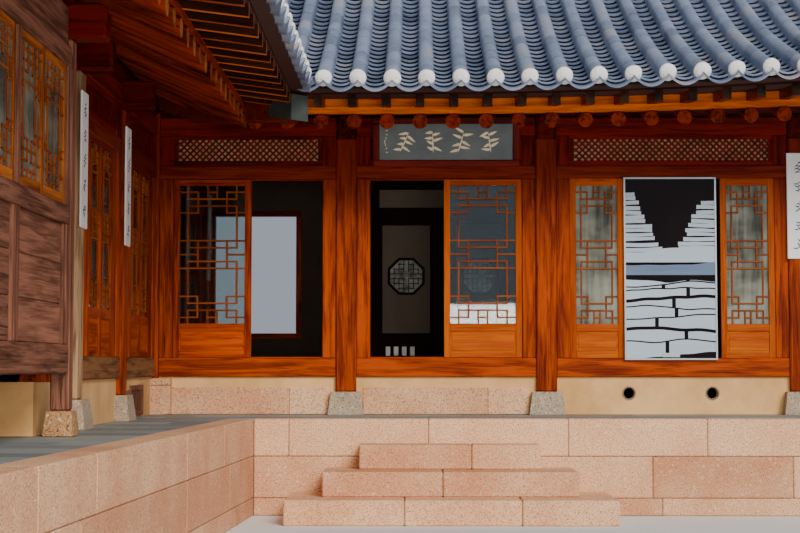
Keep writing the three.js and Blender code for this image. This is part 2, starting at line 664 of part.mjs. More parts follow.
function addOuterWalls() {
  const bottom = PLATFORM_TOP + GAP;
  const top = PURLIN_BOTTOM - GAP;
  const face = POST / 2 + GAP;
  const backWall = (x0, x1, posts) => join([
    box(x0, x1, MAIN_DEPTH - WALL_HALF, MAIN_DEPTH + WALL_HALF, bottom, top),
    ...posts.map((x) => wallPost(x, MAIN_DEPTH)),
  ]);
  const window = box(...WINDOW_X, 0, 2 * MAIN_DEPTH, ...WINDOW_Z);
  add('wall_back', cut(backWall(WEST_X + face, AB_X - face, [CORNER_X]), [window]), PLASTER);
  const beyond = backWall(AB_X, RIGHT_X, [AB_X, BC_X, RIGHT_X]);
  add('wall_back_right', cut(beyond, mainTieSpaces()), PLASTER);

  const west = box(WEST_X - WALL_HALF, WEST_X + WALL_HALF,
    PAVILION_BACK_Y + PAVILION_STONE_BOTTOM + GAP, MAIN_DEPTH, bottom, top);
  const westPosts = WING_POST_Y.map((y) => wallPost(WEST_X, y));
  const cornerPost = wallPost(WEST_X, MAIN_DEPTH, CORNER_POST_TOP - GAP);
  add('wall_west', cut(join([west, ...westPosts, cornerPost]), wingTieSpaces()), PLASTER);

  const right = box(RIGHT_X - WALL_HALF, RIGHT_X + WALL_HALF, face, MAIN_DEPTH - face,
    bottom, TIE_BOTTOM - GAP);
  add('wall_right', cut(solid(right), [plinth(RIGHT_X, 0, GAP)]), PLASTER);
}

// Inner partition behind the second bay: a wall of boards and papered panels with an
// eight-sided window in each of its two doors.

function addPartition() {
  const half = TIE_WIDTH / 2 + GAP;
  const left = AB_X + half;
  const right = BC_X - half;
  const wall = box(left, right, PARTITION_Y - PARTITION_HALF, PARTITION_Y + PARTITION_HALF,
    FLOOR_TOP + GAP, TIE_BOTTOM - GAP);
  const front = PARTITION_Y - PARTITION_HALF;
  const cuts = [box(left + UPPER_PAPER_MARGIN, right - UPPER_PAPER_MARGIN, front - LAP,
    front + PAPER_RECESS, ...UPPER_PAPER_Z)];
  for (const side of [-1, 1]) {
    const x = PARTITION_CENTRE_X + side * DOOR_OFFSET;
    cuts.push(box(x - DOOR_PAPER_WIDTH / 2, x + DOOR_PAPER_WIDTH / 2, front - LAP,
      front + PAPER_RECESS, ...DOOR_PAPER_Z));
    const ends = [[x, front - LAP, OCTAGON_Z], [x, front + 2 * PAPER_RECESS, OCTAGON_Z]];
    cuts.push(bar(ends, roundSection(OCTAGON_RADIUS, 8), [1, 0]));
  }
  add('partition', cut(solid(wall), cuts), PAPER);
}

// Boards and panels hung on the front

function addBoards() {
  const half = NAME_BOARD_WIDTH / 2;
  const board = box(-half, half, -NAME_BOARD_THICK, 0, 0, NAME_BOARD_TALL);
  const field = box(-half + NAME_BOARD_BORDER, half - NAME_BOARD_BORDER, -NAME_BOARD_THICK - LAP,
    -NAME_BOARD_THICK + NAME_BOARD_LIP, NAME_BOARD_BORDER, NAME_BOARD_TALL - NAME_BOARD_BORDER);
  add('name_board', cut(solid(board), [field]), SIGN_PAINT,
    [STEP_CENTRE_X, FRAME_FRONT - GAP, NAME_BOARD_BOTTOM], [NAME_BOARD_TILT, 0, 0]);

  const place = PLAQUE.bottom + PLAQUE.tall / 2;
  const off = POST / 2 + GAP + PLAQUE.thick / 2;
  const facing = new THREE.BoxGeometry(PLAQUE.width, PLAQUE.thick, PLAQUE.tall);
  add('plaque_right', facing, BOARD_PAINT, [RIGHT_X, -off, place]);
  WING_POST_Y.forEach((y, k) => {
    add(`plaque_wing_${k + 1}`, facing, BOARD_PAINT, [CORNER_X + off, y, place],
      [0, 0, FACE_EAST]);
  });

  const { left, right, bottom, top, thick, frame, lip } = DISPLAY;
  const back = FRAME_FRONT - GAP;
  const panel = box(left, right, back - thick, back, bottom, top);
  const glass = box(left + frame, right - frame, back - thick - LAP, back - thick + lip,
    bottom + frame, top - frame);
  add('display_panel', cut(solid(panel), [glass]), SILVER);
}

// Roof. Each wing's roof is made in its own frame: s runs along the ridge from the
// corner towards the gable, and t runs across it, from the valley side, negative, to
// the outer side. The diagonal joint between the roofs is s + t = 0.

const MAIN = {
  name: 'main',
  length: RIGHT_X + GABLE_OVERHANG - CORNER_X + WING_WIDTH / 2,
  ties: [AB_X, BC_X, RIGHT_X].map((x) => ({
    s: x - CORNER_X + WING_WIDTH / 2, inner: WING_WIDTH / 2 + POST / 2,
    outer: WING_WIDTH / 2 + POST / 2,
  })),
  toWorld: (s, t) => [CORNER_X - WING_WIDTH / 2 + s, MAIN_DEPTH / 2 + t],
};

const PAVILION_T = WING_WIDTH / 2 + (PAVILION_X - CORNER_X);

const WING = {
  name: 'wing',
  length: MAIN_DEPTH / 2 - PAVILION_FRONT_Y + GABLE_OVERHANG,
  ties: [
    ...WING_POST_Y.map((y) => ({
      s: MAIN_DEPTH / 2 - y, inner: WING_WIDTH / 2 + POST / 2 + TIE_HEAD,
      outer: WING_WIDTH / 2 + POST / 2,
    })),
    ...[PAVILION_BACK_Y, PAVILION_FRONT_Y].map((y) => ({
      s: MAIN_DEPTH / 2 - y, inner: PAVILION_T + PAVILION_POST / 2 + TIE_HEAD,
      outer: WING_WIDTH / 2 + PAVILION_POST / 2,
    })),
  ],
  extraPurlin: { t: -PAVILION_T, start: MAIN_DEPTH / 2 - PAVILION_BACK_Y },
  toWorld: (s, t) => [CORNER_X - WING_WIDTH / 2 - t, MAIN_DEPTH / 2 - s],
};

// The eaves rise towards the gables and towards the outer corner.
function lift(roof, s, t) {
  const u = HALF_SPAN - Math.abs(t);
  const toGable = roof.length - s;
  const distance = t < 0 ? toGable : Math.min(toGable, s + HALF_SPAN);
  const along = Math.max(0, 1 - Math.max(0, distance) / LIFT_RUN);
  return EAVE_LIFT * along * along * Math.max(0, 1 - u / OVERHANG);
}

function rafterTop(u) {
  return RAFTER_FOOT_TOP + RAFTER_SLOPE * (u - RAFTER_FOOT);
}

function flyingTop(u) {
  return FLYING_TOP + FLYING_SLOPE * (u - FLYING_START);
}

// Underside of the roof body: the eave edge, the flying rafters, then the rafters.
const UNDERSIDE = [
  [0, EAVE_UNDERSIDE], [EDGE_BOARD_START - 3, EAVE_UNDERSIDE],
  ...[EDGE_BOARD_START, FLYING_END].map((u) => [u, flyingTop(u) + CLEAR]),
  ...[FLYING_BOARDS_END, OVERHANG, ...UPPER_ROWS, HALF_SPAN].map((u) => [u, rafterTop(u) + CLEAR]),
];

function roofTop(u) {
  return TILE_TOP.start + TILE_TOP.slope * u + TILE_TOP.curve * u * u;
}

// Move a shape from a roof's own frame to the house.
function settle(roof, geometry) {
  const at = geometry.attributes.position;
  for (let i = 0; i < at.count; i += 1) {
    const [x, y] = roof.toWorld(at.getX(i), at.getY(i));
    at.setXYZ(i, x, y, at.getZ(i));
  }
  return geometry;
}

// Raise a shape in a roof's own frame by the lift of the eaves.
function raise(roof, geometry, share = 1) {
  const at = geometry.attributes.position;
  for (let i = 0; i < at.count; i += 1) {
    at.setZ(i, at.getZ(i) + share * lift(roof, at.getX(i), at.getY(i)));
  }
  return geometry;
}

// Columns of the roof body. The first ones close up towards the diagonal, as shares of
// the way from it to a straight line just past the valley. The rest are parallel.
const NEAR_DIAGONAL = [0, 0.08, 0.18, 0.3, 0.45, 0.68, 1];
const STRAIGHT_FROM = HALF_SPAN + 40;
const STRAIGHT_COLUMNS = 8;
const BODY_LIFT = 1.05;

function roofBody(roof) {
  const rows = [
    ...UNDERSIDE.map(([u]) => u - HALF_SPAN), ...UNDERSIDE.slice(0, -1).reverse()
      .map(([u]) => HALF_SPAN - u),
  ];
  const bottoms = new Map(UNDERSIDE);
  const near = NEAR_DIAGONAL.length - 1;
  const columns = near + STRAIGHT_COLUMNS;
  const shape = new THREE.BoxGeometry(1, 1, 1, columns, rows.length - 1, 1);
  const at = shape.attributes.position;
  for (let i = 0; i < at.count; i += 1) {
    const t = rows[Math.round((at.getY(i) + 0.5) * (rows.length - 1))];
    const u = HALF_SPAN - Math.abs(t);
    const column = Math.round((at.getX(i) + 0.5) * columns);
    const s = column <= near
      ? THREE.MathUtils.lerp(GAP - t, STRAIGHT_FROM, NEAR_DIAGONAL[column])
      : THREE.MathUtils.lerp(STRAIGHT_FROM, roof.length, (column - near) / STRAIGHT_COLUMNS);
    const z = at.getZ(i) > 0 ? roofTop(u) : bottoms.get(u);
    at.setXYZ(i, s, t, z + BODY_LIFT * lift(roof, s, t));
  }
  turnDiagonals(roof, shape);
  return settle(roof, shape);
}

// The two triangles of each cell meet along the diagonal that keeps the raised corner
// of the eave hollow below, so cells of the outer slope near the gable are split anew.
function turnDiagonals(roof, shape) {
  const at = shape.attributes.position;
  const middle = (roof.length - HALF_SPAN) / 2;
  for (let i = 0; i < shape.index.count; i += 6) {
    const [a, b, d, , c] = Array.from({ length: 6 }, (_, k) => shape.index.getX(i + k));
    const cell = [a, b, c, d];
    if (cell.every((k) => at.getY(k) >= 0 && at.getX(k) > middle)) {
      [a, b, c, a, c, d].forEach((corner, k) => shape.index.setX(i + k, corner));
    }
  }
}

// Height of the roof body's top, which is straight from row to row.
function bodyTop(u) {
  const marks = UNDERSIDE.map(([mark]) => mark);
  const k = Math.max(1, marks.findIndex((mark) => mark >= u));
  const share = (u - marks[k - 1]) / (marks[k] - marks[k - 1]);
  return THREE.MathUtils.lerp(roofTop(marks[k - 1]), roofTop(marks[k]), share);
}

// Everything on one roof's side of the diagonal joint, moved `off` along s and t.
function roofTerritory(roof, off) {
  const shape = box(0, FAR, -FAR, FAR, 0, FAR).rotateZ(Math.PI / 4);
  return solid(settle(roof, shape.translate(off, off, 0)));
}

function rafterLines(roof, first) {
  const lines = [];
  const last = roof.length - BARGE_OUTER - BARGE_THICK - RAFTER_RADIUS;
  for (let s = first; s < last; s += RAFTER_PITCH) lines.push(s);
  return lines;
}

function rafters(roof, s, side) {
  const tall = Math.sqrt(1 + RAFTER_SLOPE * RAFTER_SLOPE);
  const section = Array.from({ length: RAFTER_SIDES }, (_, k) => {
    const turn = (2 * Math.PI * k) / RAFTER_SIDES + Math.PI / 2;
    return [RAFTER_RADIUS * Math.cos(turn), RAFTER_RADIUS * tall * Math.sin(turn)];
  });
  const reach = RAFTER_RADIUS * tall;
  const footLift = lift(roof, s, side * (HALF_SPAN - RAFTER_FOOT));
  const marks = footLift > CLEAR ? [RAFTER_FOOT, OVERHANG, HALF_SPAN] : [RAFTER_FOOT, HALF_SPAN];
  const stations = marks.map((u) => [s, side * (HALF_SPAN - u), rafterTop(u) - reach]);
  return raise(roof, bar(stations, section, [1, 0]));
}

function flyingRafter(roof, s, side) {
  const stations = [FLYING_START, FLYING_END].map((u) => (
    [s, side * (HALF_SPAN - u), flyingTop(u)]
  ));
  return raise(roof, bar(stations, rectangle(FLYING_WIDTH / 2, -FLYING_TALL, 0), [1, 0]));
}

// Beside the diagonal a flying rafter is kept only where its tail still has a rafter below.
function meetsItsRafter(s, side) {
  const tail = HALF_SPAN - FLYING_END + TIE_WIDTH / 2;
  return s + side * tail > DIAGONAL_WIDTH;
}

// The board across the short rafters at the outer corner, which end at the diagonal.
function cornerBoard(roof) {
  const { half, bottom, top, inset, steps } = CORNER_BOARD;
  const start = -HALF_SPAN;
  const end = -WING_WIDTH / 2 + RAFTER_PITCH;
  const stations = Array.from({ length: steps + 1 }, (_, k) => (
    [THREE.MathUtils.lerp(start, end, k / steps), HALF_SPAN - RAFTER_FOOT + inset, 0]
  ));
  return raise(roof, bar(stations, rectangle(half, bottom, top), [0, 1]));
}

function addTimbers(roof) {
  const end = roof.length - BARGE_OUTER - BARGE_THICK - GAP;
  const pieces = [];
  const purlin = (t, z, radius, start) => {
    pieces.push(bar([[start, t, z], [end, t, z]], roundSection(radius, 8), [0, 1]));
  };
  purlin(-WING_WIDTH / 2, PURLIN_BOTTOM + PURLIN_RADIUS, PURLIN_RADIUS, 0);
  purlin(WING_WIDTH / 2, PURLIN_BOTTOM + PURLIN_RADIUS, PURLIN_RADIUS, -HALF_SPAN);
  purlin(0, RIDGE_PURLIN_Z, RIDGE_PURLIN_RADIUS, 0);
  if (roof.extraPurlin) {
    const { t, start } = roof.extraPurlin;
    purlin(t, PURLIN_BOTTOM + RIDGE_PURLIN_RADIUS, RIDGE_PURLIN_RADIUS, start);
  }
  for (const { s, inner, outer } of roof.ties) {
    const half = TIE_WIDTH / 2;
    pieces.push(box(s - half, s + half, -inner, outer, TIE_BOTTOM, TIE_TOP));
    pieces.push(box(s - KING_POST_HALF, s + KING_POST_HALF, -KING_POST_REACH, KING_POST_REACH,
      TIE_TOP - LAP, RIDGE_PURLIN_Z));
  }
  for (const side of [-1, 1]) {
    const first = side < 0 ? RAFTER_PHASE : RAFTER_PHASE - CORNER_RAFTERS * RAFTER_PITCH;
    for (const s of rafterLines(roof, first)) {
      pieces.push(rafters(roof, s, side));
      if (meetsItsRafter(s, side)) pieces.push(flyingRafter(roof, s, side));
    }
  }
  pieces.push(cornerBoard(roof));
  const whole = pieces.map((piece) => solid(settle(roof, piece)))
    .reduce((sum, piece) => sum.add(piece));
  const kept = whole.intersect(roofTerritory(roof, (DIAGONAL_WIDTH / 2 + GAP) / Math.SQRT2));
  const posts = [postSpace(CORNER_X, 0), postSpace(WEST_X, MAIN_DEPTH)];
  add(`roof_timbers_${roof.name}`, cut(kept, posts), TIMBER);
}

// The rafter under the diagonal joint, flat on top below the valley and ridged on top
// below the hip.
function addDiagonalRafter() {
  const place = (side) => (u) => {
    const t = side * (HALF_SPAN - u);
    const z = u < FLYING_BOARDS_END ? flyingTop(u) : rafterTop(u);
    const [x, y] = MAIN.toWorld(-t, t);
    return [x, y, z + lift(MAIN, -t, t)];
  };
  const half = DIAGONAL_WIDTH / 2;
  const across = [Math.SQRT1_2, Math.SQRT1_2];
  const marks = [DIAGONAL_START, FLYING_END, FLYING_BOARDS_END, OVERHANG];
  const top = HALF_SPAN - DIAGONAL_WIDTH;
  const valley = bar([...marks, top].map(place(-1)), rectangle(half, -DIAGONAL_TALL, -LAP),
    across);
  const [middleDrop, edgeDrop] = HIP_TOP_DROP;
  const ridged = [
    [-half, -DIAGONAL_TALL], [half, -DIAGONAL_TALL], [half, -edgeDrop], [0, -middleDrop],
    [-half, -edgeDrop],
  ];
  const stations = [...marks.map(place(1)), place(1)(HALF_SPAN), place(-1)(top - middleDrop)];
  const hip = bar(stations, ridged, across);
  add('diagonal_rafter', join([valley, hip]), TIMBER);
}

// Ridges: a wall of stacked tiles on the ridge, down the gable edges and down the hip

const EDGE_RIDGE_MARKS = [
  EDGE_RIDGE_START, FLYING_END, FLYING_BOARDS_END, OVERHANG, ...UPPER_ROWS, HALF_SPAN,
];

function mainRidge(roof) {
  const drop = bodyTop(HALF_SPAN) - bodyTop(HALF_SPAN - RIDGE_HALF);
  const outline = [
    [-RIDGE_HALF, -drop + GAP], [0, GAP], [RIDGE_HALF, -drop + GAP],
    [RIDGE_HALF, RIDGE_TALL - RIDGE_SHOULDER], [RIDGE_CAP_HALF, RIDGE_TALL],
    [-RIDGE_CAP_HALF, RIDGE_TALL], [-RIDGE_HALF, RIDGE_TALL - RIDGE_SHOULDER],
  ];
  const z = roofTop(HALF_SPAN);
  return bar([[0, 0, z], [roof.length, 0, z]], outline, [0, 1]);
}

function edgeRidge(roof, side) {
  const s = roof.length - EDGE_RIDGE_INSET;
  const stations = EDGE_RIDGE_MARKS.map((u) => [s, side * (HALF_SPAN - u), bodyTop(u)]);
  const outline = rectangle(EDGE_RIDGE_HALF, EDGE_RIDGE_SEAT, EDGE_RIDGE_TALL);
  return raise(roof, bar(stations, outline, [1, 0]), BODY_LIFT);
}

function hipRidge(grow) {
  const stations = EDGE_RIDGE_MARKS.map((u) => {
    const t = HALF_SPAN - u;
    const [x, y] = MAIN.toWorld(-t, t);
    return [x, y, bodyTop(u) + BODY_LIFT * lift(MAIN, -t, t)];
  });
  const half = EDGE_RIDGE_HALF + grow;
  const low = EDGE_RIDGE_SEAT - grow;
  const outline = [
    [-half, low - HIP_SEAT_DROP], [0, low], [half, low - HIP_SEAT_DROP],
    [half, EDGE_RIDGE_TALL + grow], [-half, EDGE_RIDGE_TALL + grow],
  ];
  return bar(stations, outline, [Math.SQRT1_2, Math.SQRT1_2]);
}

function addRidges() {
  const ridge = (roof) => join([
    mainRidge(roof), edgeRidge(roof, -1), edgeRidge(roof, 1),
  ].map((shape) => settle(roof, shape))).intersect(roofTerritory(roof, GAP));
  add('ridge_wing', ridge(WING).add(solid(hipRidge(0))), TILE);
  add('ridge_main', cut(ridge(MAIN), [hipRidge(2 * GAP)]), TILE);
}

// Gable ends: a wall on the last tie beam, in two halves joined by a board over the king
// post, and boards under the roof edge

function gableWall(roof, s) {
  const under = (t) => rafterTop(HALF_SPAN - Math.abs(t)) - RAFTER_DEEP;
  const purlinEdge = WING_WIDTH / 2 - PURLIN_RADIUS - LAP;
  const ridgeEdge = RIDGE_PURLIN_RADIUS + LAP;
  const ridgeLow = RIDGE_PURLIN_Z - RIDGE_PURLIN_RADIUS - LAP;
  const base = TIE_TOP + GAP;
  const post = KING_POST_REACH + GAP;
  const half = [
    [post, base], [purlinEdge, base], [purlinEdge, under(purlinEdge)],
    [ridgeEdge, under(ridgeEdge)], [ridgeEdge, ridgeLow], [post, ridgeLow],
  ];
  const ends = [[s - GABLE_HALF, 0, 0], [s + GABLE_HALF, 0, 0]];
  const sides = [-1, 1].map((side) => bar(ends, half.map(([t, z]) => [side * t, z]), [0, 1]));
  const lap = post + GABLE_COVER_LAP;
  const cover = box(s + KING_POST_HALF + GAP, s + GABLE_HALF + GABLE_COVER_PROUD, -lap, lap,
    base, ridgeLow);
  return [...sides, cover].map((shape) => settle(roof, shape));
}

function bargeboard(roof, side) {
  const marks = UNDERSIDE.filter(([u]) => u >= EDGE_BOARD_START);
  const s = roof.length - BARGE_OUTER - BARGE_THICK / 2;
  const stations = marks.map(([u, z]) => [s, side * (HALF_SPAN - u), z]);
  return raise(roof, bar(stations, rectangle(BARGE_THICK / 2, -BARGE_DEEP, -LAP), [1, 0]));
}

function addGables() {
  for (const roof of [MAIN, WING]) {
    const boards = [-1, 1].map((side) => settle(roof, bargeboard(roof, side)));
    add(`bargeboard_${roof.name}`, join(boards), TIMBER);
    const { s } = roof.ties[roof.ties.length - 1];
    add(`gable_${roof.name}`, join(gableWall(roof, s)), PLASTER);
  }
}

addPlatforms();
addSteps();
addFrontBase();
addWingBase();
addPavilionStones();
addPosts();
addFloors();
addMainBays();
addWingBays();
addPavilionWalls();
addOuterWalls();
addPartition();
addBoards();
for (const roof of [MAIN, WING]) {
  addTimbers(roof);
  add(`roof_${roof.name}`, roofBody(roof), TILE);
}
addDiagonalRafter();
addRidges();
addGables();

// Rest the origin under the middle of the house, on the ground.
const left = WEST_X - OVERHANG;
const back = MAIN_DEPTH + OVERHANG;
house.position.set(-(left + RIGHT_X + GABLE_OVERHANG) / 2, -(WING_PLATFORM_FRONT_Y + back) / 2, 0);

export default part;
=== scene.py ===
# %% [markdown]
# # A Korean timber house
# This lesson dresses the solids of a tiled timber house: an L-shaped plan on a granite platform,
# with sliding lattice doors and a raised room at the end of the side wing. The solids give every
# place and size. The cells below make what the eye reads at close range: tiles, lattices, stone
# joints, wood grain, plaster and glass.

# %% Loading the frame
import json
import math
import random

import bmesh
import bpy
import numpy as np
from mathutils import Matrix, Vector

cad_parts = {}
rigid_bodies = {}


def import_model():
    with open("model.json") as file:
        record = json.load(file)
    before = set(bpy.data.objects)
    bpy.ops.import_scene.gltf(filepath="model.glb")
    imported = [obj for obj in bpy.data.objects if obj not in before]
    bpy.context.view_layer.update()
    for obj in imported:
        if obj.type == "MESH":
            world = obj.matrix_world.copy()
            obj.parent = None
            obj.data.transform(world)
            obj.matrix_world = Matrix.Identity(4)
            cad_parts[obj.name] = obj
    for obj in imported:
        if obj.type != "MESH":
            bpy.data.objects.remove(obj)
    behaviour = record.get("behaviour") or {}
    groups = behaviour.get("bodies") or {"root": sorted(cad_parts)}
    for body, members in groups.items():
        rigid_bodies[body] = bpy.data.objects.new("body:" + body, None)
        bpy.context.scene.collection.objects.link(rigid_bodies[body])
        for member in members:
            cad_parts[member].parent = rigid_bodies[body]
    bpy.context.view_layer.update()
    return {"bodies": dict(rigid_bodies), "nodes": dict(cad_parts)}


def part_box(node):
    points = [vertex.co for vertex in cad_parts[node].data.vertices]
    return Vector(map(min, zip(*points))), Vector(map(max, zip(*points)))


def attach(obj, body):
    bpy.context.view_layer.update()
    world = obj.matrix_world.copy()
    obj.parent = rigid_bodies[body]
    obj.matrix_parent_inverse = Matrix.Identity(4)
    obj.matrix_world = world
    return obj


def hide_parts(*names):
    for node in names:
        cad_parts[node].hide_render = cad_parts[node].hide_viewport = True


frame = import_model()
chance = random.Random(4976)


def shown(name, data):
    """A new object that holds the data and stands in the scene."""
    made = bpy.data.objects.new(name, data)
    bpy.context.scene.collection.objects.link(made)
    return made


# %% [markdown]
# ## Places that the solids give
# A house carpenter sets everything out from the post lines. They are read from the posts, so each
# later piece stands where its post stands. Heights are read from the frames, sills and floors.

# %% Post lines and heights
def middle(node):
    low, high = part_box(node)
    return (Vector(low) + Vector(high)) / 2


CORNER_X, FRONT_Y = middle("post_corner").x, middle("post_corner").y
AB_X, BC_X, RIGHT_X = (middle(node).x for node in ("post_ab", "post_bc", "post_right"))
WING_POST_Y = [middle("post_wing_1").y, middle("post_wing_2").y]
WEST_X, PAVILION_BACK_Y = middle("pavilion_post_west_back").xy
PAVILION_X, PAVILION_FRONT_Y = middle("pavilion_post_east_front").xy
BACK_Y = middle("wall_back").y
PLATFORM_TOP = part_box("platform_main")[1][2]
SILL_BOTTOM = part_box("frame_bay_a")[0][2]
PURLIN_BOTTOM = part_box("frame_bay_a")[1][2]
SILL_TOP = SILL_BOTTOM + 0.198
LINTEL_BOTTOM, LINTEL_TOP = 3.43, 3.57
BEAM_BOTTOM = 3.89
WEST, EAST = Vector((-1, 0, 0)), Vector((1, 0, 0))
print("post lines X", [round(x, 3) for x in (WEST_X, CORNER_X, PAVILION_X, AB_X, BC_X, RIGHT_X)])
print("post lines Y", [round(y, 3) for y in (FRONT_Y, *WING_POST_Y, PAVILION_BACK_Y, BACK_Y)])

# %% [markdown]
# ## Camera
# The verticals of the posts lean a little, so the camera looks up by a few degrees from the
# courtyard, and the side wing's lines meet just right of the middle. The lens is a short
# telephoto, which keeps the front wall flat and calm.

# %% The camera
camera_data = bpy.data.cameras.new("camera")
camera_data.lens = 71.1
camera_data.sensor_width = 36.0
camera = shown("camera", camera_data)
camera.location = (1.86, -14.59, 1.45)
camera.rotation_euler = (math.radians(93.57), 0.0, math.radians(0.65))
bpy.context.scene.camera = camera
print("camera looks up by", round(math.degrees(camera.rotation_euler.x) - 90, 2), "degrees")

# %% [markdown]
# ## Light and floor
# The house stands in open shade with bright sky in front of it. A wide soft sun from the front
# and a pale sky give that. The pale floor throws light up under the eaves, and a wide lamp low in
# the courtyard adds to it. The lamp stays out of the glass.

# %% Sun, sky and floor
def plain_world():
    world = bpy.data.worlds.new("studio")
    world.use_nodes = True
    background = world.node_tree.nodes["Background"]
    background.inputs["Color"].default_value = (0.80, 0.88, 1.0, 1.0)
    background.inputs["Strength"].default_value = 0.42
    bpy.context.scene.world = world


def lamp(name, kind, energy, turn, colour, place=(0, 0, 0), **settings):
    data = bpy.data.lights.new(name, kind)
    data.energy = energy
    data.color = colour
    for key, value in settings.items():
        setattr(data, key, value)
    made = shown(name, data)
    made.location = place
    made.rotation_euler = [math.radians(a) for a in turn]
    return made


def pale_floor():
    bm = bmesh.new()
    bmesh.ops.create_grid(bm, x_segments=1, y_segments=1, size=90.0)
    mesh = bpy.data.meshes.new("floor")
    bm.to_mesh(mesh)
    bm.free()
    floor = shown("floor", mesh)
    material = bpy.data.materials.new("pale_floor")
    material.use_nodes = True
    shader = material.node_tree.nodes["Principled BSDF"]
    shader.inputs["Base Color"].default_value = (0.74, 0.73, 0.71, 1.0)
    shader.inputs["Roughness"].default_value = 0.9
    mesh.materials.append(material)


plain_world()
lamp("sun", "SUN", 3.3, (58, 0, 26), (1.0, 0.96, 0.9), angle=math.radians(25))
fill = lamp("fill", "AREA", 140.0, (98, 0, 8), (1.0, 0.90, 0.78), (3.0, -13.0, 1.8),
            shape="RECTANGLE", size=6.0, size_y=1.8, spread=math.radians(80))
fill.visible_glossy = False
pale_floor()

# %% [markdown]
# ## Shader maths
# A finish is a sum of small facts: grain, stain, wear. `Wire` wraps a socket so that such facts
# add and multiply as plain Python, and `Finish` holds one material and makes any other node.

# %% Wires and finishes
class Wire:
    """A value that runs through a material's nodes."""

    def __init__(self, finish, socket):
        self.finish = finish
        self.socket = socket

    def maths(self, operation, *values):
        inputs = dict(enumerate(values))
        return self.finish.node("ShaderNodeMath", {"operation": operation}, inputs)

    def __add__(self, other):
        return self.maths("ADD", self, other)

    def __sub__(self, other):
        return self.maths("SUBTRACT", self, other)

    def __rsub__(self, other):
        return self.maths("SUBTRACT", other, self)

    def __mul__(self, other):
        return self.maths("MULTIPLY", self, other)

    def __truediv__(self, other):
        return self.maths("DIVIDE", self, other)

    __radd__ = __add__
    __rmul__ = __mul__

    def step(self, start, end):
        """0 before start, 1 after end, smooth between them."""
        settings = {"interpolation_type": "SMOOTHSTEP"}
        inputs = {"Value": self, "From Min": start, "From Max": end}
        return self.finish.node("ShaderNodeMapRange", settings, inputs)


class Finish:
    """One material, made node by node."""

    def __init__(self, name, roughness=0.6):
        self.material = bpy.data.materials.new(name)
        self.material.use_nodes = True
        self.tree = self.material.node_tree
        self.shader = self.tree.nodes["Principled BSDF"]
        self.shader.inputs["Roughness"].default_value = roughness

    def plug(self, socket, value):
        if isinstance(value, Wire):
            self.tree.links.new(value.socket, socket)
        elif isinstance(value, tuple) and len(value) == 3 and socket.type == "RGBA":
            socket.default_value = (*value, 1.0)
        else:
            socket.default_value = value

    def node(self, kind, settings=None, inputs=None, output=0):
        node = self.tree.nodes.new(kind)
        for name, value in (settings or {}).items():
            setattr(node, name, value)
        for name, value in (inputs or {}).items():
            self.plug(node.inputs[name], value)
        return Wire(self, node.outputs[output])

    def place(self, scale=(1.0, 1.0, 1.0), of=None):
        """Object coordinates or a given vector, stretched by a scale."""
        source = of or self.node("ShaderNodeTexCoord", output="Object")
        return self.node("ShaderNodeMapping", None, {"Vector": source, "Scale": scale})

    def attribute(self, name, output="Fac"):
        return self.node("ShaderNodeAttribute", {"attribute_name": name}, None, output)

    def noise(self, vector, scale, detail, rough=0.5, distortion=0.0):
        inputs = {"Vector": vector, "Scale": scale, "Detail": detail, "Roughness": rough,
                  "Distortion": distortion}
        return self.node("ShaderNodeTexNoise", None, inputs)

    def cells(self, vector, scale):
        """The distance from the middle of the nearest cell."""
        inputs = {"Vector": vector, "Scale": scale}
        return self.node("ShaderNodeTexVoronoi", None, inputs, "Distance")

    def mix(self, first, second, share):
        """Colours from first to second by a share from 0 to 1."""
        node = self.tree.nodes.new("ShaderNodeMix")
        node.data_type = "RGBA"
        self.plug(node.inputs[0], share)
        self.plug(node.inputs[6], first)
        self.plug(node.inputs[7], second)
        return Wire(self, node.outputs[2])

    def shade(self, colour, share):
        """A colour darkened or lightened by a number round 1."""
        inputs = {0: colour, "Scale": share}
        return self.node("ShaderNodeVectorMath", {"operation": "SCALE"}, inputs)

    def coat(self, colour=None, roughness=None, height=None, depth=0.002, strength=1.0):
        if colour is not None:
            self.plug(self.shader.inputs["Base Color"], colour)
        if roughness is not None:
            self.plug(self.shader.inputs["Roughness"], roughness)
        if height is not None:
            inputs = {"Height": height, "Distance": depth, "Strength": strength}
            bump = self.node("ShaderNodeBump", None, inputs)
            self.plug(self.shader.inputs["Normal"], bump)
        return self.material


def plain_finish(name, dark, light, stretch, noise, rough, **settings):
    """One noise moves the colour and the roughness. Settings are further shader inputs."""
    f = Finish(name)
    for socket, value in settings.items():
        f.shader.inputs[socket.replace("_", " ")].default_value = value
    share = f.noise(f.place(stretch), *noise)
    return f.coat(f.mix(dark, light, share), rough[0] + share * rough[1])


print("shader helpers are ready")

# %% [markdown]
# ## Pieces and stock
# A builder cuts stock once and sets it many times. `Joinery` collects the members of one piece:
# each block is a cube from a bmesh operator, sized, bevelled and marked with its own grain
# direction and tone, which the finishes read. `lay` sets many copies of one stock shape.

# %% Members, copies and finished pieces
TAU = 2 * math.pi


def faces_of(verts):
    return {f for v in verts for f in v.link_faces}


def stand(x_axis, y_axis, z_axis, place):
    """A matrix that stands a shape at a place, with its axes along three directions."""
    turn = Matrix((x_axis, y_axis, z_axis)).transposed().to_4x4()
    turn.translation = place
    return turn


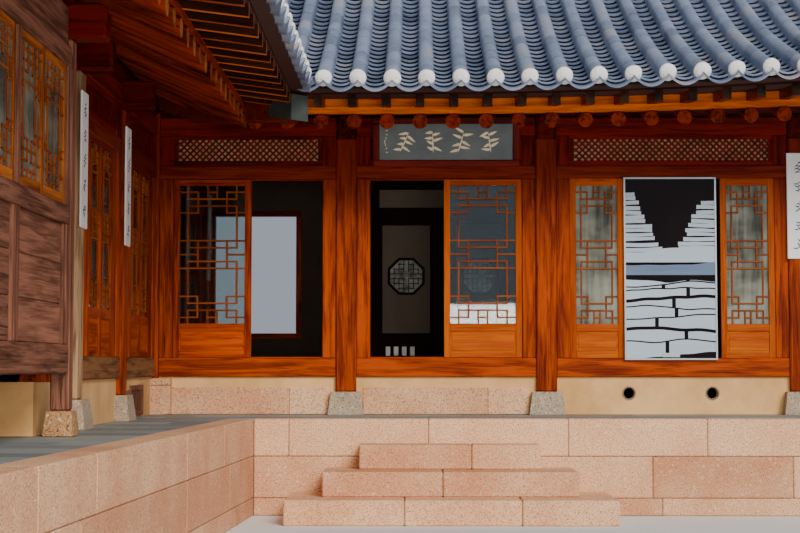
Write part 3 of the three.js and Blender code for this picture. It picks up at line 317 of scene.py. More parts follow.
class Joinery:
    """The members of one piece, in one bmesh."""

    def __init__(self):
        self.bm = bmesh.new()
        self.grain = self.bm.verts.layers.float_vector.new("grain")
        self.tone = self.bm.verts.layers.float.new("tone")

    def mark(self, verts, along, origin=None, tone=None):
        """Write each vertex's place along and across the member, and one tone for all."""
        axis = Vector(along).normalized()
        side = axis.orthogonal().normalized()
        other = axis.cross(side)
        shift = Vector([chance.uniform(-20, 20) for _ in range(3)])
        value = chance.random() if tone is None else tone
        start = origin or Vector((0, 0, 0))
        for vert in verts:
            place = vert.co - start
            spot = Vector((place.dot(axis), place.dot(side), place.dot(other)))
            vert[self.grain] = spot + shift
            vert[self.tone] = value

    def soften(self, verts, edge, segments=1):
        """Bevel all edges at these vertices. Returns the vertices that stand there then."""
        edges = list({e for v in verts for e in v.link_edges})
        cut = bmesh.ops.bevel(self.bm, geom=edges, offset=edge, offset_type="OFFSET",
                              affect="EDGES", segments=segments, profile=0.5, material=-1)
        kept = {v for v in verts if v.is_valid}
        return list({v for f in cut["faces"] for v in f.verts} | kept)

    def block(self, low, high, along, edge, tone=None, material=0, turn=None):
        """A cube sized to a box, with its edges taken off and turned if a matrix is given."""
        verts = bmesh.ops.create_cube(self.bm, size=1.0)["verts"]
        bmesh.ops.scale(self.bm, vec=Vector(high) - Vector(low), verts=verts)
        if edge:
            verts = self.soften(verts, edge)
        bmesh.ops.translate(self.bm, vec=(Vector(low) + Vector(high)) / 2, verts=verts)
        if turn is not None:
            bmesh.ops.transform(self.bm, matrix=turn, verts=verts)
            along = turn.to_3x3() @ Vector(along)
        self.mark(verts, along, tone=tone)
        for face in faces_of(verts):
            face.material_index = material
        return verts

    def drawn(self, outline, stations, across, up=(0, 0, 1), tone=None, material=0):
        """An outline of (across, up) points drawn out through a row of stations."""
        across, up = Vector(across), Vector(up)
        first = Vector(stations[0])
        ring = [self.bm.verts.new(first + across * a + up * b) for a, b in outline]
        face = self.bm.faces.new(ring)
        verts = list(ring)
        for start, end in zip(stations, stations[1:]):
            made = bmesh.ops.extrude_face_region(self.bm, geom=[face, *face.edges])
            moved = [g for g in made["geom"] if isinstance(g, bmesh.types.BMVert)]
            face = next(g for g in made["geom"] if isinstance(g, bmesh.types.BMFace))
            bmesh.ops.translate(self.bm, vec=Vector(end) - Vector(start), verts=moved)
            verts += moved
        all_faces = list(faces_of(verts))
        bmesh.ops.recalc_face_normals(self.bm, faces=all_faces)
        self.mark(verts, Vector(stations[-1]) - first, first, tone)
        for each in all_faces:
            each.material_index = material
        return verts


def piece(name, bm, materials, body="house", replaces=()):
    """Turn a bmesh into a finished piece that rides on a body."""
    mesh = bpy.data.meshes.new(name)
    bm.to_mesh(mesh)
    bm.free()
    piece_of(name, mesh, materials, body, replaces)


def piece_of(name, mesh, materials, body="house", replaces=(), smooth=32.0):
    """The same for a mesh. Smooth is the angle in degrees up to which faces blend."""
    for material in materials:
        mesh.materials.append(material)
    mesh.shade_smooth()
    mesh.set_sharp_from_angle(angle=math.radians(smooth))
    made = shown(name, mesh)
    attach(made, body)
    if replaces:
        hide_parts(*replaces)


def lay(name, stock, places):
    """One mesh of a copy of the stock at each matrix. Each copy has its own tone."""
    layer = stock.verts.layers.float_vector.get("grain")
    stock.verts.index_update()
    points = np.array([v.co[:] for v in stock.verts])
    grain = np.array([v[layer][:] if layer else v.co[:] for v in stock.verts])
    loops = np.array([v.index for f in stock.faces for v in f.verts])
    sizes = np.array([len(f.verts) for f in stock.faces])
    turns = np.array([np.array(place) for place in places])
    count = len(turns)
    laid = np.einsum("kij,nj->kni", turns[:, :3, :3], points) + turns[:, None, :3, 3]
    corners = (loops[None, :] + len(points) * np.arange(count)[:, None]).ravel()
    totals = np.tile(sizes, count)
    mesh = bpy.data.meshes.new(name)
    mesh.vertices.add(count * len(points))
    mesh.vertices.foreach_set("co", laid.ravel())
    mesh.loops.add(len(corners))
    mesh.loops.foreach_set("vertex_index", corners)
    mesh.polygons.add(len(totals))
    mesh.polygons.foreach_set("loop_start", np.concatenate(([0], np.cumsum(totals)[:-1])))
    mesh.update(calc_edges=True)
    shifts = np.array([[chance.uniform(-20, 20) for _ in range(3)] for _ in range(count)])
    values = np.array([chance.random() for _ in range(count)])
    grain_data = mesh.attributes.new("grain", "FLOAT_VECTOR", "POINT")
    grain_data.data.foreach_set("vector", (grain[None] + shifts[:, None]).ravel())
    tone_data = mesh.attributes.new("tone", "FLOAT", "POINT")
    tone_data.data.foreach_set("value", np.repeat(values, len(points)))
    return mesh


print("piece helpers are ready")

# %% [markdown]
# ## Stained and weathered timber
# The posts and beams are pine with a hot orange-brown stain: dark, nearly red where it is thick,
# and honey where the sun has thinned it. Streaks follow the grain, which each member carries as
# an attribute. A few knots break them. The raised room was never oiled, so it is grey-brown.

# %% Timber finishes
def timber(name, dark, light, streak, knots, roughness, cracks=0.35, painted_eave_shade=0.0):
    """The last argument paints the shade of the eaves: high under them, the colour darkens towards
    the dark colour.
    """
    f = Finish(name)
    f.shader.inputs["Specular IOR Level"].default_value = 0.12
    grain = f.attribute("grain", "Vector")
    tone = f.attribute("tone")
    broad = f.noise(f.place((0.8, 9.0, 9.0), grain), 1.6, 4.0, 0.6, 0.5).step(0.36, 0.64)
    fibre = f.noise(f.place((1.6, 60.0, 60.0), grain), 1.5, 3.0, 0.6).step(0.36, 0.64)
    knot = f.cells(f.place((1.3, 6.0, 6.0), grain), 1.0)
    eye = 1 - knot.step(0.05, 0.16)
    check = f.noise(f.place((1.2, 42.0, 42.0), grain), 1.0, 2.0, 0.5, 1.2).step(0.66, 0.72)
    share = broad * streak + fibre * 0.3 + tone * 0.35 - 0.1
    colour = f.mix(dark, light, share.maths("MAXIMUM", share, 0.0))
    # painted shade: high under the eaves the colour is darkened with height, as the eaves shade the
    # wood
    if painted_eave_shade:
        height = f.node("ShaderNodeSeparateXYZ", None, {0: f.place()}, "Z")
        kept = f.shade(dark, 0.8 + fibre * 0.9)
        colour = f.mix(colour, kept, height.step(2.8, 3.65) * painted_eave_shade)
    colour = f.shade(colour, 1.0 - eye * knots - check * cracks + (tone - 0.5) * 0.25)
    height = fibre * 0.5 - check * 1.0 - eye * 0.3
    return f.coat(colour, roughness + fibre * 0.12, height, 0.0025, 0.6)


STAIN = timber("stained_timber", (0.070, 0.0016, 0.0001), (0.39, 0.053, 0.0008),
               0.8, 0.7, 0.42, 0.65, 0.8)
# painted shade: a darker copy of the stain for the beams, transoms and bargeboards high under the
# eaves
UPPER_SHADE_STAIN = timber("stained_timber_painted_shade", (0.022, 0.0004, 0.0001), (0.15, 0.0045, 0.0002),
                    0.8, 0.5, 0.42)
HONEY = timber("honey_timber", (0.26, 0.027, 0.0003), (0.51, 0.112, 0.0020),
               0.4, 0.4, 0.4, 0.3, 0.35)
SHADED = timber("shaded_leaf_timber", (0.14, 0.006, 0.0002), (0.46, 0.065, 0.0008),
                0.7, 0.5, 0.4, 0.45, 0.5)
BLEACHED = timber("bleached_timber", (0.10, 0.050, 0.022), (0.48, 0.30, 0.165),
                  0.8, 0.4, 0.6, 0.6, 0.7)
WORN = timber("worn_sill_timber", (0.035, 0.010, 0.003), (0.24, 0.105, 0.045), 0.8, 0.4, 0.6, 0.5)
SASH = timber("sash_timber", (0.14, 0.022, 0.003), (0.46, 0.135, 0.018), 0.7, 0.3, 0.5, 0.4)
OLD = timber("weathered_timber", (0.050, 0.016, 0.009), (0.31, 0.128, 0.078), 0.5, 0.4, 0.6, 0.6)
BAR = timber("lattice_timber", (0.12, 0.016, 0.0020), (0.34, 0.085, 0.014), 0.5, 0.0, 0.5, 0.0)
END_GRAIN = timber("rafter_ends", (0.008, 0.004, 0.003), (0.035, 0.018, 0.012), 0.5, 0.0, 0.9)
print("timber finishes:", [m.name for m in bpy.data.materials if "timber" in m.name])

# %% [markdown]
# ## Clay tiles and lime
# Smoked clay tiles are blue-grey with a thin metallic bloom, and no two leave the kiln alike. The
# tone of each tile moves its colour from slate to brown-grey. Lime plugs are rough and chalky.

# %% Tile and lime finishes
def tile_finish():
    f = Finish("smoked_clay_tile", 0.42)
    spots = f.place()
    tone = f.attribute("tone")
    cloud = f.noise(spots, 2.2, 4.0, 0.6).step(0.3, 0.7)
    speck = f.noise(spots, 60.0, 2.0, 0.6)
    cool = f.mix((0.075, 0.10, 0.165), (0.26, 0.32, 0.46), tone * 0.45 + cloud * 0.55)
    warm = f.mix(cool, (0.30, 0.25, 0.22), (cloud * tone).step(0.3, 0.9) * 0.6)
    colour = f.shade(warm, 0.82 + speck * 0.36)
    return f.coat(colour, 0.34 + cloud * 0.2, speck + cloud * 0.5, 0.003, 0.5)


def lime_finish():
    f = Finish("lime_plug", 0.9)
    spots = f.place()
    lumps = f.noise(spots, 34.0, 4.0, 0.6)
    stain = f.noise(spots, 9.0, 3.0, 0.6).step(0.55, 0.8)
    colour = f.mix((0.86, 0.85, 0.82), (0.55, 0.51, 0.45), stain * 0.6)
    return f.coat(colour, None, lumps, 0.02, 0.8)


TILE = tile_finish()
LIME = lime_finish()
print("tile finishes:", TILE.name, LIME.name)

# %% [markdown]
# ## The shape of the roof
# Each wing's roof has two slopes. A slope's own frame runs s along the ridge, from the corner of
# the L to the gable, and u level, from the eave edge up to the ridge. The eaves sweep up towards
# the gables and the outer corner, and the slope steepens towards the ridge, like a slack rope.

# %% Slopes
HALF_SPAN, OVERHANG, GABLE_OVERHANG = 3.86, 1.76, 1.07
EAVE_LIFT, LIFT_RUN, BODY_LIFT, TILE_DROP = 0.21, 5.1, 1.05, 0.05
ROOF_CORNER = Vector(((CORNER_X + WEST_X) / 2, (FRONT_Y + BACK_Y) / 2))
ROOF_LENGTH = {
    "main": RIGHT_X + GABLE_OVERHANG - ROOF_CORNER.x,
    "wing": ROOF_CORNER.y - PAVILION_FRONT_Y + GABLE_OVERHANG,
}
UP = Vector((0, 0, 1))


def roof_top(u):
    return 4.16 + 0.4 * u + 0.0246 * u * u


def rafter_top(u):
    return 3.96 + 0.445 * (u - 0.61)


def flying_top(u):
    return 4.04 + 0.14 * (u - 0.12)


class Slope:
    """One face of one wing's roof. Side -1 faces the courtyard and 1 faces outwards."""

    def __init__(self, wing, side):
        self.wing = wing
        self.side = side
        self.length = ROOF_LENGTH[wing]
        self.along = EAST if wing == "main" else Vector((0, -1, 0))
        across = Vector((0, 1, 0)) if wing == "main" else WEST
        self.inward = -side * across
        self.ridge = Vector((*ROOF_CORNER, 0))

    def reach(self, s):
        """Lowest and highest u of this slope at s, between eave, diagonal and ridge."""
        if self.side < 0:
            return max(0.0, HALF_SPAN - s), HALF_SPAN
        return 0.0, min(HALF_SPAN, HALF_SPAN + s)

    def lift(self, s, u):
        to_gable = self.length - s
        distance = to_gable if self.side < 0 else min(to_gable, s + HALF_SPAN)
        run = max(0.0, 1.0 - max(0.0, distance) / LIFT_RUN)
        return EAVE_LIFT * run * run * max(0.0, 1.0 - u / OVERHANG)

    def point(self, s, u, z, share=1.0):
        level = self.ridge + self.along * s + self.inward * (u - HALF_SPAN)
        return level + UP * (z + share * self.lift(s, u))

    def seat(self, s, u):
        """A matrix for a tile at a point: x across, y up the slope, z out of it."""
        here = self.point(s, u, roof_top(u) - TILE_DROP, BODY_LIFT)
        ahead = self.point(s, u + 0.05, roof_top(u + 0.05) - TILE_DROP, BODY_LIFT)
        rise = (ahead - here).normalized()
        level = self.along if self.side < 0 else -self.along
        if self.wing == "wing":
            level = -level
        level = (level - rise * level.dot(rise)).normalized()
        out = level.cross(rise)
        if out.z < 0:
            level, out = -level, -out
        return stand(level, rise, out, here)


SLOPES = [Slope(wing, side) for wing in ("main", "wing") for side in (-1, 1)]
print("roof lengths", {k: round(v, 2) for k, v in ROOF_LENGTH.items()})

# %% [markdown]
# ## Tiles
# Wide trough tiles lie in columns, each one lapping the next below, and arched cover tiles close
# the joints between columns. A lipped drip tile ends each trough column at the eave, and a white
# lime plug stops each cover column. Every stock tile is drawn once, as a section pulled along the
# tile, and thousands of copies are laid.

# %% Stock tiles
TILE_PITCH = 0.33
TILE_PHASE = 0.095
PAN_EXPOSURE, PAN_LENGTH, PAN_THICK, PAN_LIFT = 0.178, 0.25, 0.020, 0.018
PAN_HALF, PAN_SAG = 0.158, 0.078
COVER_RADIUS, COVER_BASE, COVER_FOOT, COVER_LENGTH = 0.077, 0.085, 0.02, 0.33


def arc(radius, start, end, count):
    angles = [start + (end - start) * k / count for k in range(count + 1)]
    return [(radius * math.cos(a), radius * math.sin(a)) for a in angles]


def pan_stock():
    work = Joinery()
    rise = [(x * PAN_HALF, PAN_SAG * x * x) for x in (-1, -0.66, -0.33, 0, 0.33, 0.66, 1)]
    outline = rise + [(x, z - PAN_THICK) for x, z in reversed(rise)]
    high = PAN_THICK + PAN_LIFT
    ends = [(0, 0, high), (0, PAN_LENGTH, high * (1 - PAN_LENGTH / PAN_EXPOSURE))]
    work.drawn(outline, ends, (1, 0, 0))
    return work.bm


def cover_stock():
    work = Joinery()
    arch = [(x, COVER_BASE + z) for x, z in arc(COVER_RADIUS, 0.0, math.pi, 8)]
    outline = [(COVER_RADIUS, COVER_FOOT), *arch, (-COVER_RADIUS, COVER_FOOT)]
    verts = work.drawn(outline, [(0, 0, 0), (0, COVER_LENGTH + 0.01, 0)], (1, 0, 0))
    tail = [v for v in verts if v.co.y > 0.1]
    bmesh.ops.scale(work.bm, vec=(0.985, 1, 0.992), verts=tail)
    return work.bm


def drip_stock():
    """The trough tile at the eave: its thick lip hangs in a curve and meets the next lip."""
    work = Joinery()
    rise = [(x * 0.164, 0.092 * x * x) for x in (k / 5 for k in range(-5, 6))]
    outline = rise + [(x, z - 0.024) for x, z in reversed(rise)]
    work.drawn(outline, [(0, -0.075, 0.002), (0, 0.18, -0.012)], (1, 0, 0))
    return work.bm


def plug_stock(seed):
    """A lump of lime: a flattened ball, pushed in and out by a few waves."""
    bm = bmesh.new()
    bmesh.ops.create_icosphere(bm, subdivisions=3, radius=1.0)
    bmesh.ops.scale(bm, vec=(0.086, 0.045, 0.084), verts=bm.verts)
    lumps = random.Random(seed)
    waves = [(Vector([lumps.uniform(-40, 40) for _ in range(3)]), lumps.uniform(0, 6))
             for _ in range(6)]
    for vert in bm.verts:
        push = sum(math.sin(vert.co.dot(wave) + start) for wave, start in waves) / 6
        vert.co *= 1 + 0.07 * push
    bmesh.ops.translate(bm, vec=(0, -0.004, 0.098), verts=bm.verts)
    return bm


def steepness(u):
    """Metres along the slope for each level metre at u."""
    return math.hypot(1, (roof_top(u + 0.05) - roof_top(u)) / 0.05)


def pan_rows():
    """Values of u at each course of trough tiles, from the eave to the ridge."""
    u, rows = 0.0, []
    while u < HALF_SPAN:
        rows.append(u)
        u += PAN_EXPOSURE / steepness(u)
    return rows


def columns_of(slope, phase):
    first = phase if slope.side < 0 else phase - TILE_PITCH * round(HALF_SPAN / TILE_PITCH + 1)
    count = int((slope.length - 0.05 - first) / TILE_PITCH) + 1
    columns = [first + TILE_PITCH * k for k in range(count)]
    return [s for s in columns if -HALF_SPAN < s < slope.length - 0.04]


VALLEY_MARGIN, HIP_MARGIN, RIDGE_MARGIN = 0.24, 0.10, 0.10


def pan_places(slope):
    places = []
    for s in columns_of(slope, TILE_PHASE + TILE_PITCH / 2):
        low, high = slope.reach(s)
        for u in pan_rows():
            if low - 0.06 <= u <= high - RIDGE_MARGIN:
                places.append(slope.seat(s, u))
    return places


def cover_runs(slope):
    """For each column of cover tiles: its s, and u where it starts and ends."""
    runs = []
    for s in columns_of(slope, TILE_PHASE):
        low, high = slope.reach(s)
        start = low + (VALLEY_MARGIN if slope.side < 0 and s < HALF_SPAN else 0.0)
        end = high - (HIP_MARGIN if high < HALF_SPAN else RIDGE_MARGIN)
        if end - start > 0.15:
            runs.append((s, start, end))
    return runs


def cover_places(slope):
    places = []
    for s, start, end in cover_runs(slope):
        u = start
        while u < end:
            places.append(slope.seat(s, u))
            u += COVER_LENGTH / steepness(u)
    return places


def lay_roof(wing):
    slopes = [slope for slope in SLOPES if slope.wing == wing]
    pans = [place for slope in slopes for place in pan_places(slope)]
    covers = [place for slope in slopes for place in cover_places(slope)]
    plugs = [slope.seat(s, start) for slope in slopes for s, start, _ in cover_runs(slope)]
    drips = [slope.seat(s, 0.0) for slope in slopes
             for s in columns_of(slope, TILE_PHASE + TILE_PITCH / 2) if slope.reach(s)[0] == 0.0]
    piece_of(f"trough_tiles_{wing}", lay("pans", pan_stock(), pans), [TILE])
    piece_of(f"drip_tiles_{wing}", lay("drips", drip_stock(), drips), [TILE])
    piece_of(f"cover_tiles_{wing}", lay("covers", cover_stock(), covers), [TILE])
    for k in range(3):
        mesh = lay("plugs", plug_stock(k), plugs[k::3])
        piece_of(f"lime_plugs_{wing}_{k + 1}", mesh, [LIME], smooth=80.0)
    print(wing, "roof: trough, cover tiles and plugs", len(pans), len(covers), len(plugs))


for wing_name in ROOF_LENGTH:
    lay_roof(wing_name)

# %% [markdown]
# ## Boards and clay under the tiles
# The tiles lie on clay over boards. The solid of each roof gives this bed: its copy keeps the
# solid's underside, and its top is let down so that the trough tiles lie on it.

# %% Roof bed
def bed_finish():
    f = Finish("roof_boards", 0.65)
    spots = f.place()
    normal = f.node("ShaderNodeNewGeometry", output="True Normal")
    up = f.node("ShaderNodeSeparateXYZ", None, {0: normal}, "Z")
    boards = f.noise(spots, 3.0, 3.0, 0.6, 0.3)
    # painted shade: the boards' colour is near black, for the shade between the rafters
    wood = f.mix((0.010, 0.001, 0.0005), (0.045, 0.005, 0.001), boards)
    clay = f.mix((0.10, 0.09, 0.085), (0.17, 0.15, 0.14), f.noise(spots, 12.0, 3.0))
    return f.coat(f.mix(wood, clay, up.step(0.2, 0.4)), None, boards, 0.004, 0.4)


BED = bed_finish()
BED_DROP = 0.062


def bed(node):
    bm = bmesh.new()
    bm.from_mesh(frame["nodes"][node].data)
    bmesh.ops.remove_doubles(bm, verts=bm.verts, dist=1e-5)
    bm.normal_update()
    top = [v for v in bm.verts if v.normal.z > 0.05]
    bmesh.ops.translate(bm, vec=(0, 0, -BED_DROP), verts=top)
    piece(f"bed_{node}", bm, [BED], replaces=[node])


bed("roof_main")
bed("roof_wing")
print("roof beds follow", frame["nodes"]["roof_main"].name, "and", frame["nodes"]["roof_wing"].name)

# %% [markdown]
# ## Rafters, purlins and boards
# The long eaves are carried by round rafters, and a second row of square flying rafters on top
# of them throws the tiles further out. Boards run along both rows of tips, and lime fills the
# gaps over the wall. Each rafter is one outline pulled from its foot to the ridge.

# %% Roof timbers
RAFTER_PHASE, RAFTER_FOOT, RAFTER_RADIUS = 0.032, 0.61, 0.075
RAFTER_DROP = RAFTER_RADIUS * math.hypot(1, 0.445)
FLYING_START, FLYING_END = 0.12, 1.0
BARGE_LINE = 0.15
DIAGONAL_HALF = 0.1
WING_HALF = (CORNER_X - WEST_X) / 2
CROWN_Z, TIE_BOTTOM, TIE_TOP = 5.122, 3.86, 4.13


def disc(radius, count):
    return arc(radius, math.pi / count, TAU + math.pi / count, count)[:-1]


def rectangle(half, low, high):
    return [(-half, low), (half, low), (half, high), (-half, high)]


def rafter_columns(slope):
    columns = columns_of(slope, RAFTER_PHASE)
    return [s for s in columns if s < slope.length - BARGE_LINE - RAFTER_RADIUS]


def draw_rafters(work, slope):
    section = disc(RAFTER_RADIUS, 14)
    for s in rafter_columns(slope):
        low, high = slope.reach(s)
        start, end = max(low + 0.02, RAFTER_FOOT), high - 0.02
        if end - start < 0.1:
            continue
        marks = [start] + [u for u in (1.0, 1.4, OVERHANG) if start + 0.1 < u < end - 0.1] + [end]
        stations = [slope.point(s, u, rafter_top(u) - RAFTER_DROP) for u in marks]
        verts = work.drawn(section, stations, slope.along)
        colour_ends(verts, stations[0], slope.inward, 2)


def colour_ends(verts, tip, inward, material):
    """The faces at the outer tip of a rafter take another finish."""
    for face in faces_of(verts):
        if all((w.co - tip).dot(inward) < 0.01 for w in face.verts):
            face.material_index = material


def draw_flying_rafters(work, slope):
    half = 0.04 if slope.wing == "main" else 0.03
    for s in rafter_columns(slope):
        low, high = slope.reach(s)
        if high < FLYING_END + 0.1 or low > FLYING_END - 0.35:
            continue
        start = max(FLYING_START, low + 0.12)
        marks = [start, start + 0.25, FLYING_END]
        stations = [slope.point(s, u, flying_top(u)) for u in marks]
        verts = work.drawn(rectangle(half, -0.09, 0.026), stations, slope.along, material=3)
        for face in faces_of(verts):
            face.normal_update()
            # the sides of the flying rafters take finish 4, which is painted shade in the wing
            if abs(face.normal.dot(slope.along)) > 0.8:
                face.material_index = 4
        colour_ends(verts, stations[0], slope.inward, 1)


def along_eave(slope, u, end_trim):
    """Values of s from the diagonal to the gable at one u."""
    first = HALF_SPAN - u + 0.02 if slope.side < 0 else -(HALF_SPAN - u) + 0.02
    first += DIAGONAL_HALF * math.sqrt(2)
    last = slope.length - end_trim
    count = max(2, round((last - first) / TILE_PITCH))
    return [first + (last - first) * k / count for k in range(count + 1)]


def draw_strip(work, slope, u, top, half, low, high, material=0, tone=None, end_trim=BARGE_LINE):
    """A board along the eave at u, from low to high above the line that top gives."""
    stations = [slope.point(s, u, top(u)) for s in along_eave(slope, u, end_trim)]
    work.drawn(rectangle(half, low, high), stations, slope.inward, tone=tone, material=material)


def roof_timbers(wing):
    slopes = [slope for slope in SLOPES if slope.wing == wing]
    rafters, boards, infill = Joinery(), Joinery(), Joinery()
    for slope in slopes:
        draw_rafters(rafters, slope)
        draw_flying_rafters(rafters, slope)
        draw_strip(boards, slope, 0.635, rafter_top, 0.032, -0.012, 0.055, tone=0.9)
        # finish 2 is the blocking board: painted light in the main roof, painted shade in the wing
        draw_strip(boards, slope, 0.655, flying_top, 0.012, -0.105, 0.028, 2, 1.0)
        # finish 1 is the board under the tiles, in painted shade
        draw_strip(boards, slope, 0.15, flying_top, 0.03, 0.026, 0.054, material=1, end_trim=0.05)
        draw_strip(infill, slope, OVERHANG, rafter_top, 0.03, -0.19, -0.005)
    stain, tips, ends, flying, cheek, strip, blocking = EAVE_FINISHES[wing]
    piece(f"rafters_{wing}", rafters.bm, [stain, tips, ends, flying, cheek],
          replaces=[f"roof_timbers_{wing}"])
    piece(f"eave_boards_{wing}", boards.bm, [strip, SHADE_BOARD, blocking])
    piece(f"rafter_infill_{wing}", infill.bm, [PLASTER])


def beam_lines(wing):
    """Purlins and tie beams of one wing."""
    slope = Slope(wing, -1)
    end = slope.length - BARGE_LINE - 0.001
    work = Joinery()
    across = -slope.inward

    def line(t, z, radius, start):
        ends = [slope.ridge + slope.along * s + across * t + UP * z for s in (start, end)]
        work.drawn(disc(radius, 24), ends, across)

    line(WING_HALF, PURLIN_BOTTOM + 0.12, 0.12, WING_HALF)
    line(-WING_HALF, PURLIN_BOTTOM + 0.12, 0.12, -WING_HALF)
    line(0.0, CROWN_Z, 0.10, 0.0)
    if wing == "wing":
        line(PAVILION_X - ROOF_CORNER.x, PURLIN_BOTTOM + 0.1, 0.10, ROOF_CORNER.y - PAVILION_BACK_Y)
    for s, inner, outer in ties_of(wing):
        centre = slope.ridge + slope.along * s
        low = centre + across * inner - slope.along * 0.1
        high = centre - across * outer + slope.along * 0.1
        tie_block(work, low, high, TIE_BOTTOM, TIE_TOP, across, 0.022)
        low = centre + across * 0.09 - slope.along * 0.05
        high = centre - across * 0.09 + slope.along * 0.05
        tie_block(work, low, high, TIE_TOP, CROWN_Z, UP, 0.008)
    piece(f"beams_{wing}", work.bm, [BEAM_SHADE_STAIN])


def tie_block(work, one, other, bottom, top, along, edge):
    low = Vector((min(one.x, other.x), min(one.y, other.y), bottom))
    high = Vector((max(one.x, other.x), max(one.y, other.y), top))
    work.block(low, high, along, edge)


def ties_of(wing):
    """Each tie beam's s and its ends on the courtyard side and on the outer side."""
    if wing == "main":
        return [(x - ROOF_CORNER.x, WING_HALF + 0.1075, WING_HALF + 0.1075)
                for x in (AB_X, BC_X, RIGHT_X)]
    front = [(ROOF_CORNER.y - y, WING_HALF + 0.3575, WING_HALF + 0.1075) for y in WING_POST_Y]
    room = PAVILION_X - ROOF_CORNER.x + 0.07
    return front + [(ROOF_CORNER.y - y, room + 0.25, WING_HALF + 0.09)
                    for y in (PAVILION_BACK_Y, PAVILION_FRONT_Y)]


def plaster_finish():
    f = Finish("lime_plaster", 0.9)
    spots = f.place()
    cloud = f.noise(spots, 1.7, 4.0, 0.6)
    fine = f.noise(spots, 55.0, 3.0, 0.6)
    colour = f.mix((0.56, 0.30, 0.10), (0.82, 0.49, 0.21), cloud.step(0.25, 0.75))
    colour = f.shade(colour, 0.92 + fine * 0.16)
    return f.coat(colour, None, fine + cloud, 0.002, 0.5)


PLASTER = plaster_finish()
# painted shade: the rafters and the wing's eave strip take a darker stain than the walls, for the
# shade under the eaves
RAFTER_SHADE_STAIN = timber("rafter_timber", (0.020, 0.0004, 0.0001), (0.24, 0.020, 0.0003),
                      0.9, 0.3, 0.4, 0.4)
# painted light: the main eave's strip and blocking boards are painted bright, as if lit from the
# courtyard
LIT_STRIP = timber("eave_strip_painted_light", (0.30, 0.028, 0.001), (0.62, 0.13, 0.003),
                      0.8, 0.4, 0.45)
# painted shade: purlins and tie beams are near black, for the shade high under the roof
BEAM_SHADE_STAIN = timber("beam_timber_painted_shade", (0.014, 0.0003, 0.0001), (0.100, 0.0026, 0.0002),
                    0.8, 0.4, 0.42)
# painted shade: near-black boards for the board under the tiles, the wing's blocking boards and the
# wing's rafter sides
SHADE_BOARD = timber("eave_board_painted_shade", (0.008, 0.002, 0.001), (0.035, 0.009, 0.004),
                    0.6, 0.0, 0.8)
PALE_ENDS = timber("pale_rafter_ends", (0.10, 0.022, 0.004), (0.42, 0.150, 0.032), 0.6, 0.0, 0.6)
LIT_RAFTER = timber("lit_rafter_timber", (0.16, 0.0080, 0.0004), (0.72, 0.170, 0.010),
                    0.8, 0.3, 0.4)
# rafters, flying tips, rafter tips, flying rafters and their cheeks, strip and blocking
EAVE_FINISHES = {
    # main: the eave strip and blocking take painted light
    "main": [RAFTER_SHADE_STAIN, END_GRAIN, *[RAFTER_SHADE_STAIN] * 3, LIT_STRIP, LIT_STRIP],
    # wing: the flying rafters take painted light, and their sides and blocking boards take painted
    # shade
    "wing": [RAFTER_SHADE_STAIN, PALE_ENDS, PALE_ENDS, LIT_RAFTER, SHADE_BOARD, RAFTER_SHADE_STAIN, SHADE_BOARD],
}
for wing_name in ROOF_LENGTH:
    roof_timbers(wing_name)
    beam_lines(wing_name)
print("rafters in a slope:", [len(rafter_columns(slope)) for slope in SLOPES])

# %% [markdown]
# ## Solids that keep their shape
# Some solids already have the right form and only need a maker's edge: their copy is merged, its
# flat faces are joined, and its arrises are bevelled. The grain direction is written on it.

# %% Dressed copies of solids
def merged_copy(node):
    work = Joinery()
    work.bm.from_mesh(frame["nodes"][node].data)
    bmesh.ops.remove_doubles(work.bm, verts=work.bm.verts, dist=1e-5)
    bmesh.ops.dissolve_limit(work.bm, angle_limit=math.radians(1), verts=work.bm.verts,
                             edges=work.bm.edges)
    return work


def dressed(node, finish, along, edge):
    work = merged_copy(node)
    sharp = [e for e in work.bm.edges if len(e.link_faces) == 2 and e.calc_face_angle() > 0.5]
    bmesh.ops.bevel(work.bm, geom=sharp, offset=edge, offset_type="OFFSET", affect="EDGES",
                    segments=1, profile=0.5, material=-1, clamp_overlap=True)
    work.mark(work.bm.verts, along, tone=0.5)
    piece(f"dressed_{node}", work.bm, [finish], replaces=[node])


dressed("diagonal_rafter", STAIN, (1, 1, 0), 0.012)
for wing_name in ROOF_LENGTH:
    dressed(f"bargeboard_{wing_name}", UPPER_SHADE_STAIN, Slope(wing_name, -1).inward, 0.008)
print("dressed solids are ready")

# %% [markdown]
# ## Ridges
# A ridge is a low wall of flat tiles laid in lime, stepped in and out course by course, with a
# row of cover tiles on top. The same courses run down the gable edges and the hip. Each course
# is an outline pulled along the ridge's own line.

# %% Ridge courses
RIDGE_HALF, EDGE_HALF = 0.14, 0.125
RIDGE_TALL, EDGE_TALL = 0.48, 0.30
EDGE_START = 0.26


def ridge_lines():
    """Stations, level direction across and height of each ridge of each roof."""
    lines = {"main": [], "wing": []}
    marks = [EDGE_START + (HALF_SPAN - EDGE_START) * k / 10 for k in range(11)]
    for wing in ROOF_LENGTH:
        slope = Slope(wing, -1)
        crown = [slope.point(s, HALF_SPAN, roof_top(HALF_SPAN)) for s in (-0.13, slope.length)]
        lines[wing].append((crown, slope.inward, RIDGE_HALF, RIDGE_TALL, -0.04))
        for side in (-1, 1):
            edge = Slope(wing, side)
            run = [edge.point(edge.length - 0.42, u, roof_top(u), BODY_LIFT) for u in marks]
            lines[wing].append((run, edge.along, EDGE_HALF, EDGE_TALL, -0.05))
    hip = Slope("main", 1)
    run = [hip.point(-(HALF_SPAN - u), u, roof_top(u), BODY_LIFT) for u in marks]
    lines["wing"].append((run, Vector((1, 1, 0)).normalized(), EDGE_HALF, EDGE_TALL, -0.10))
    return lines


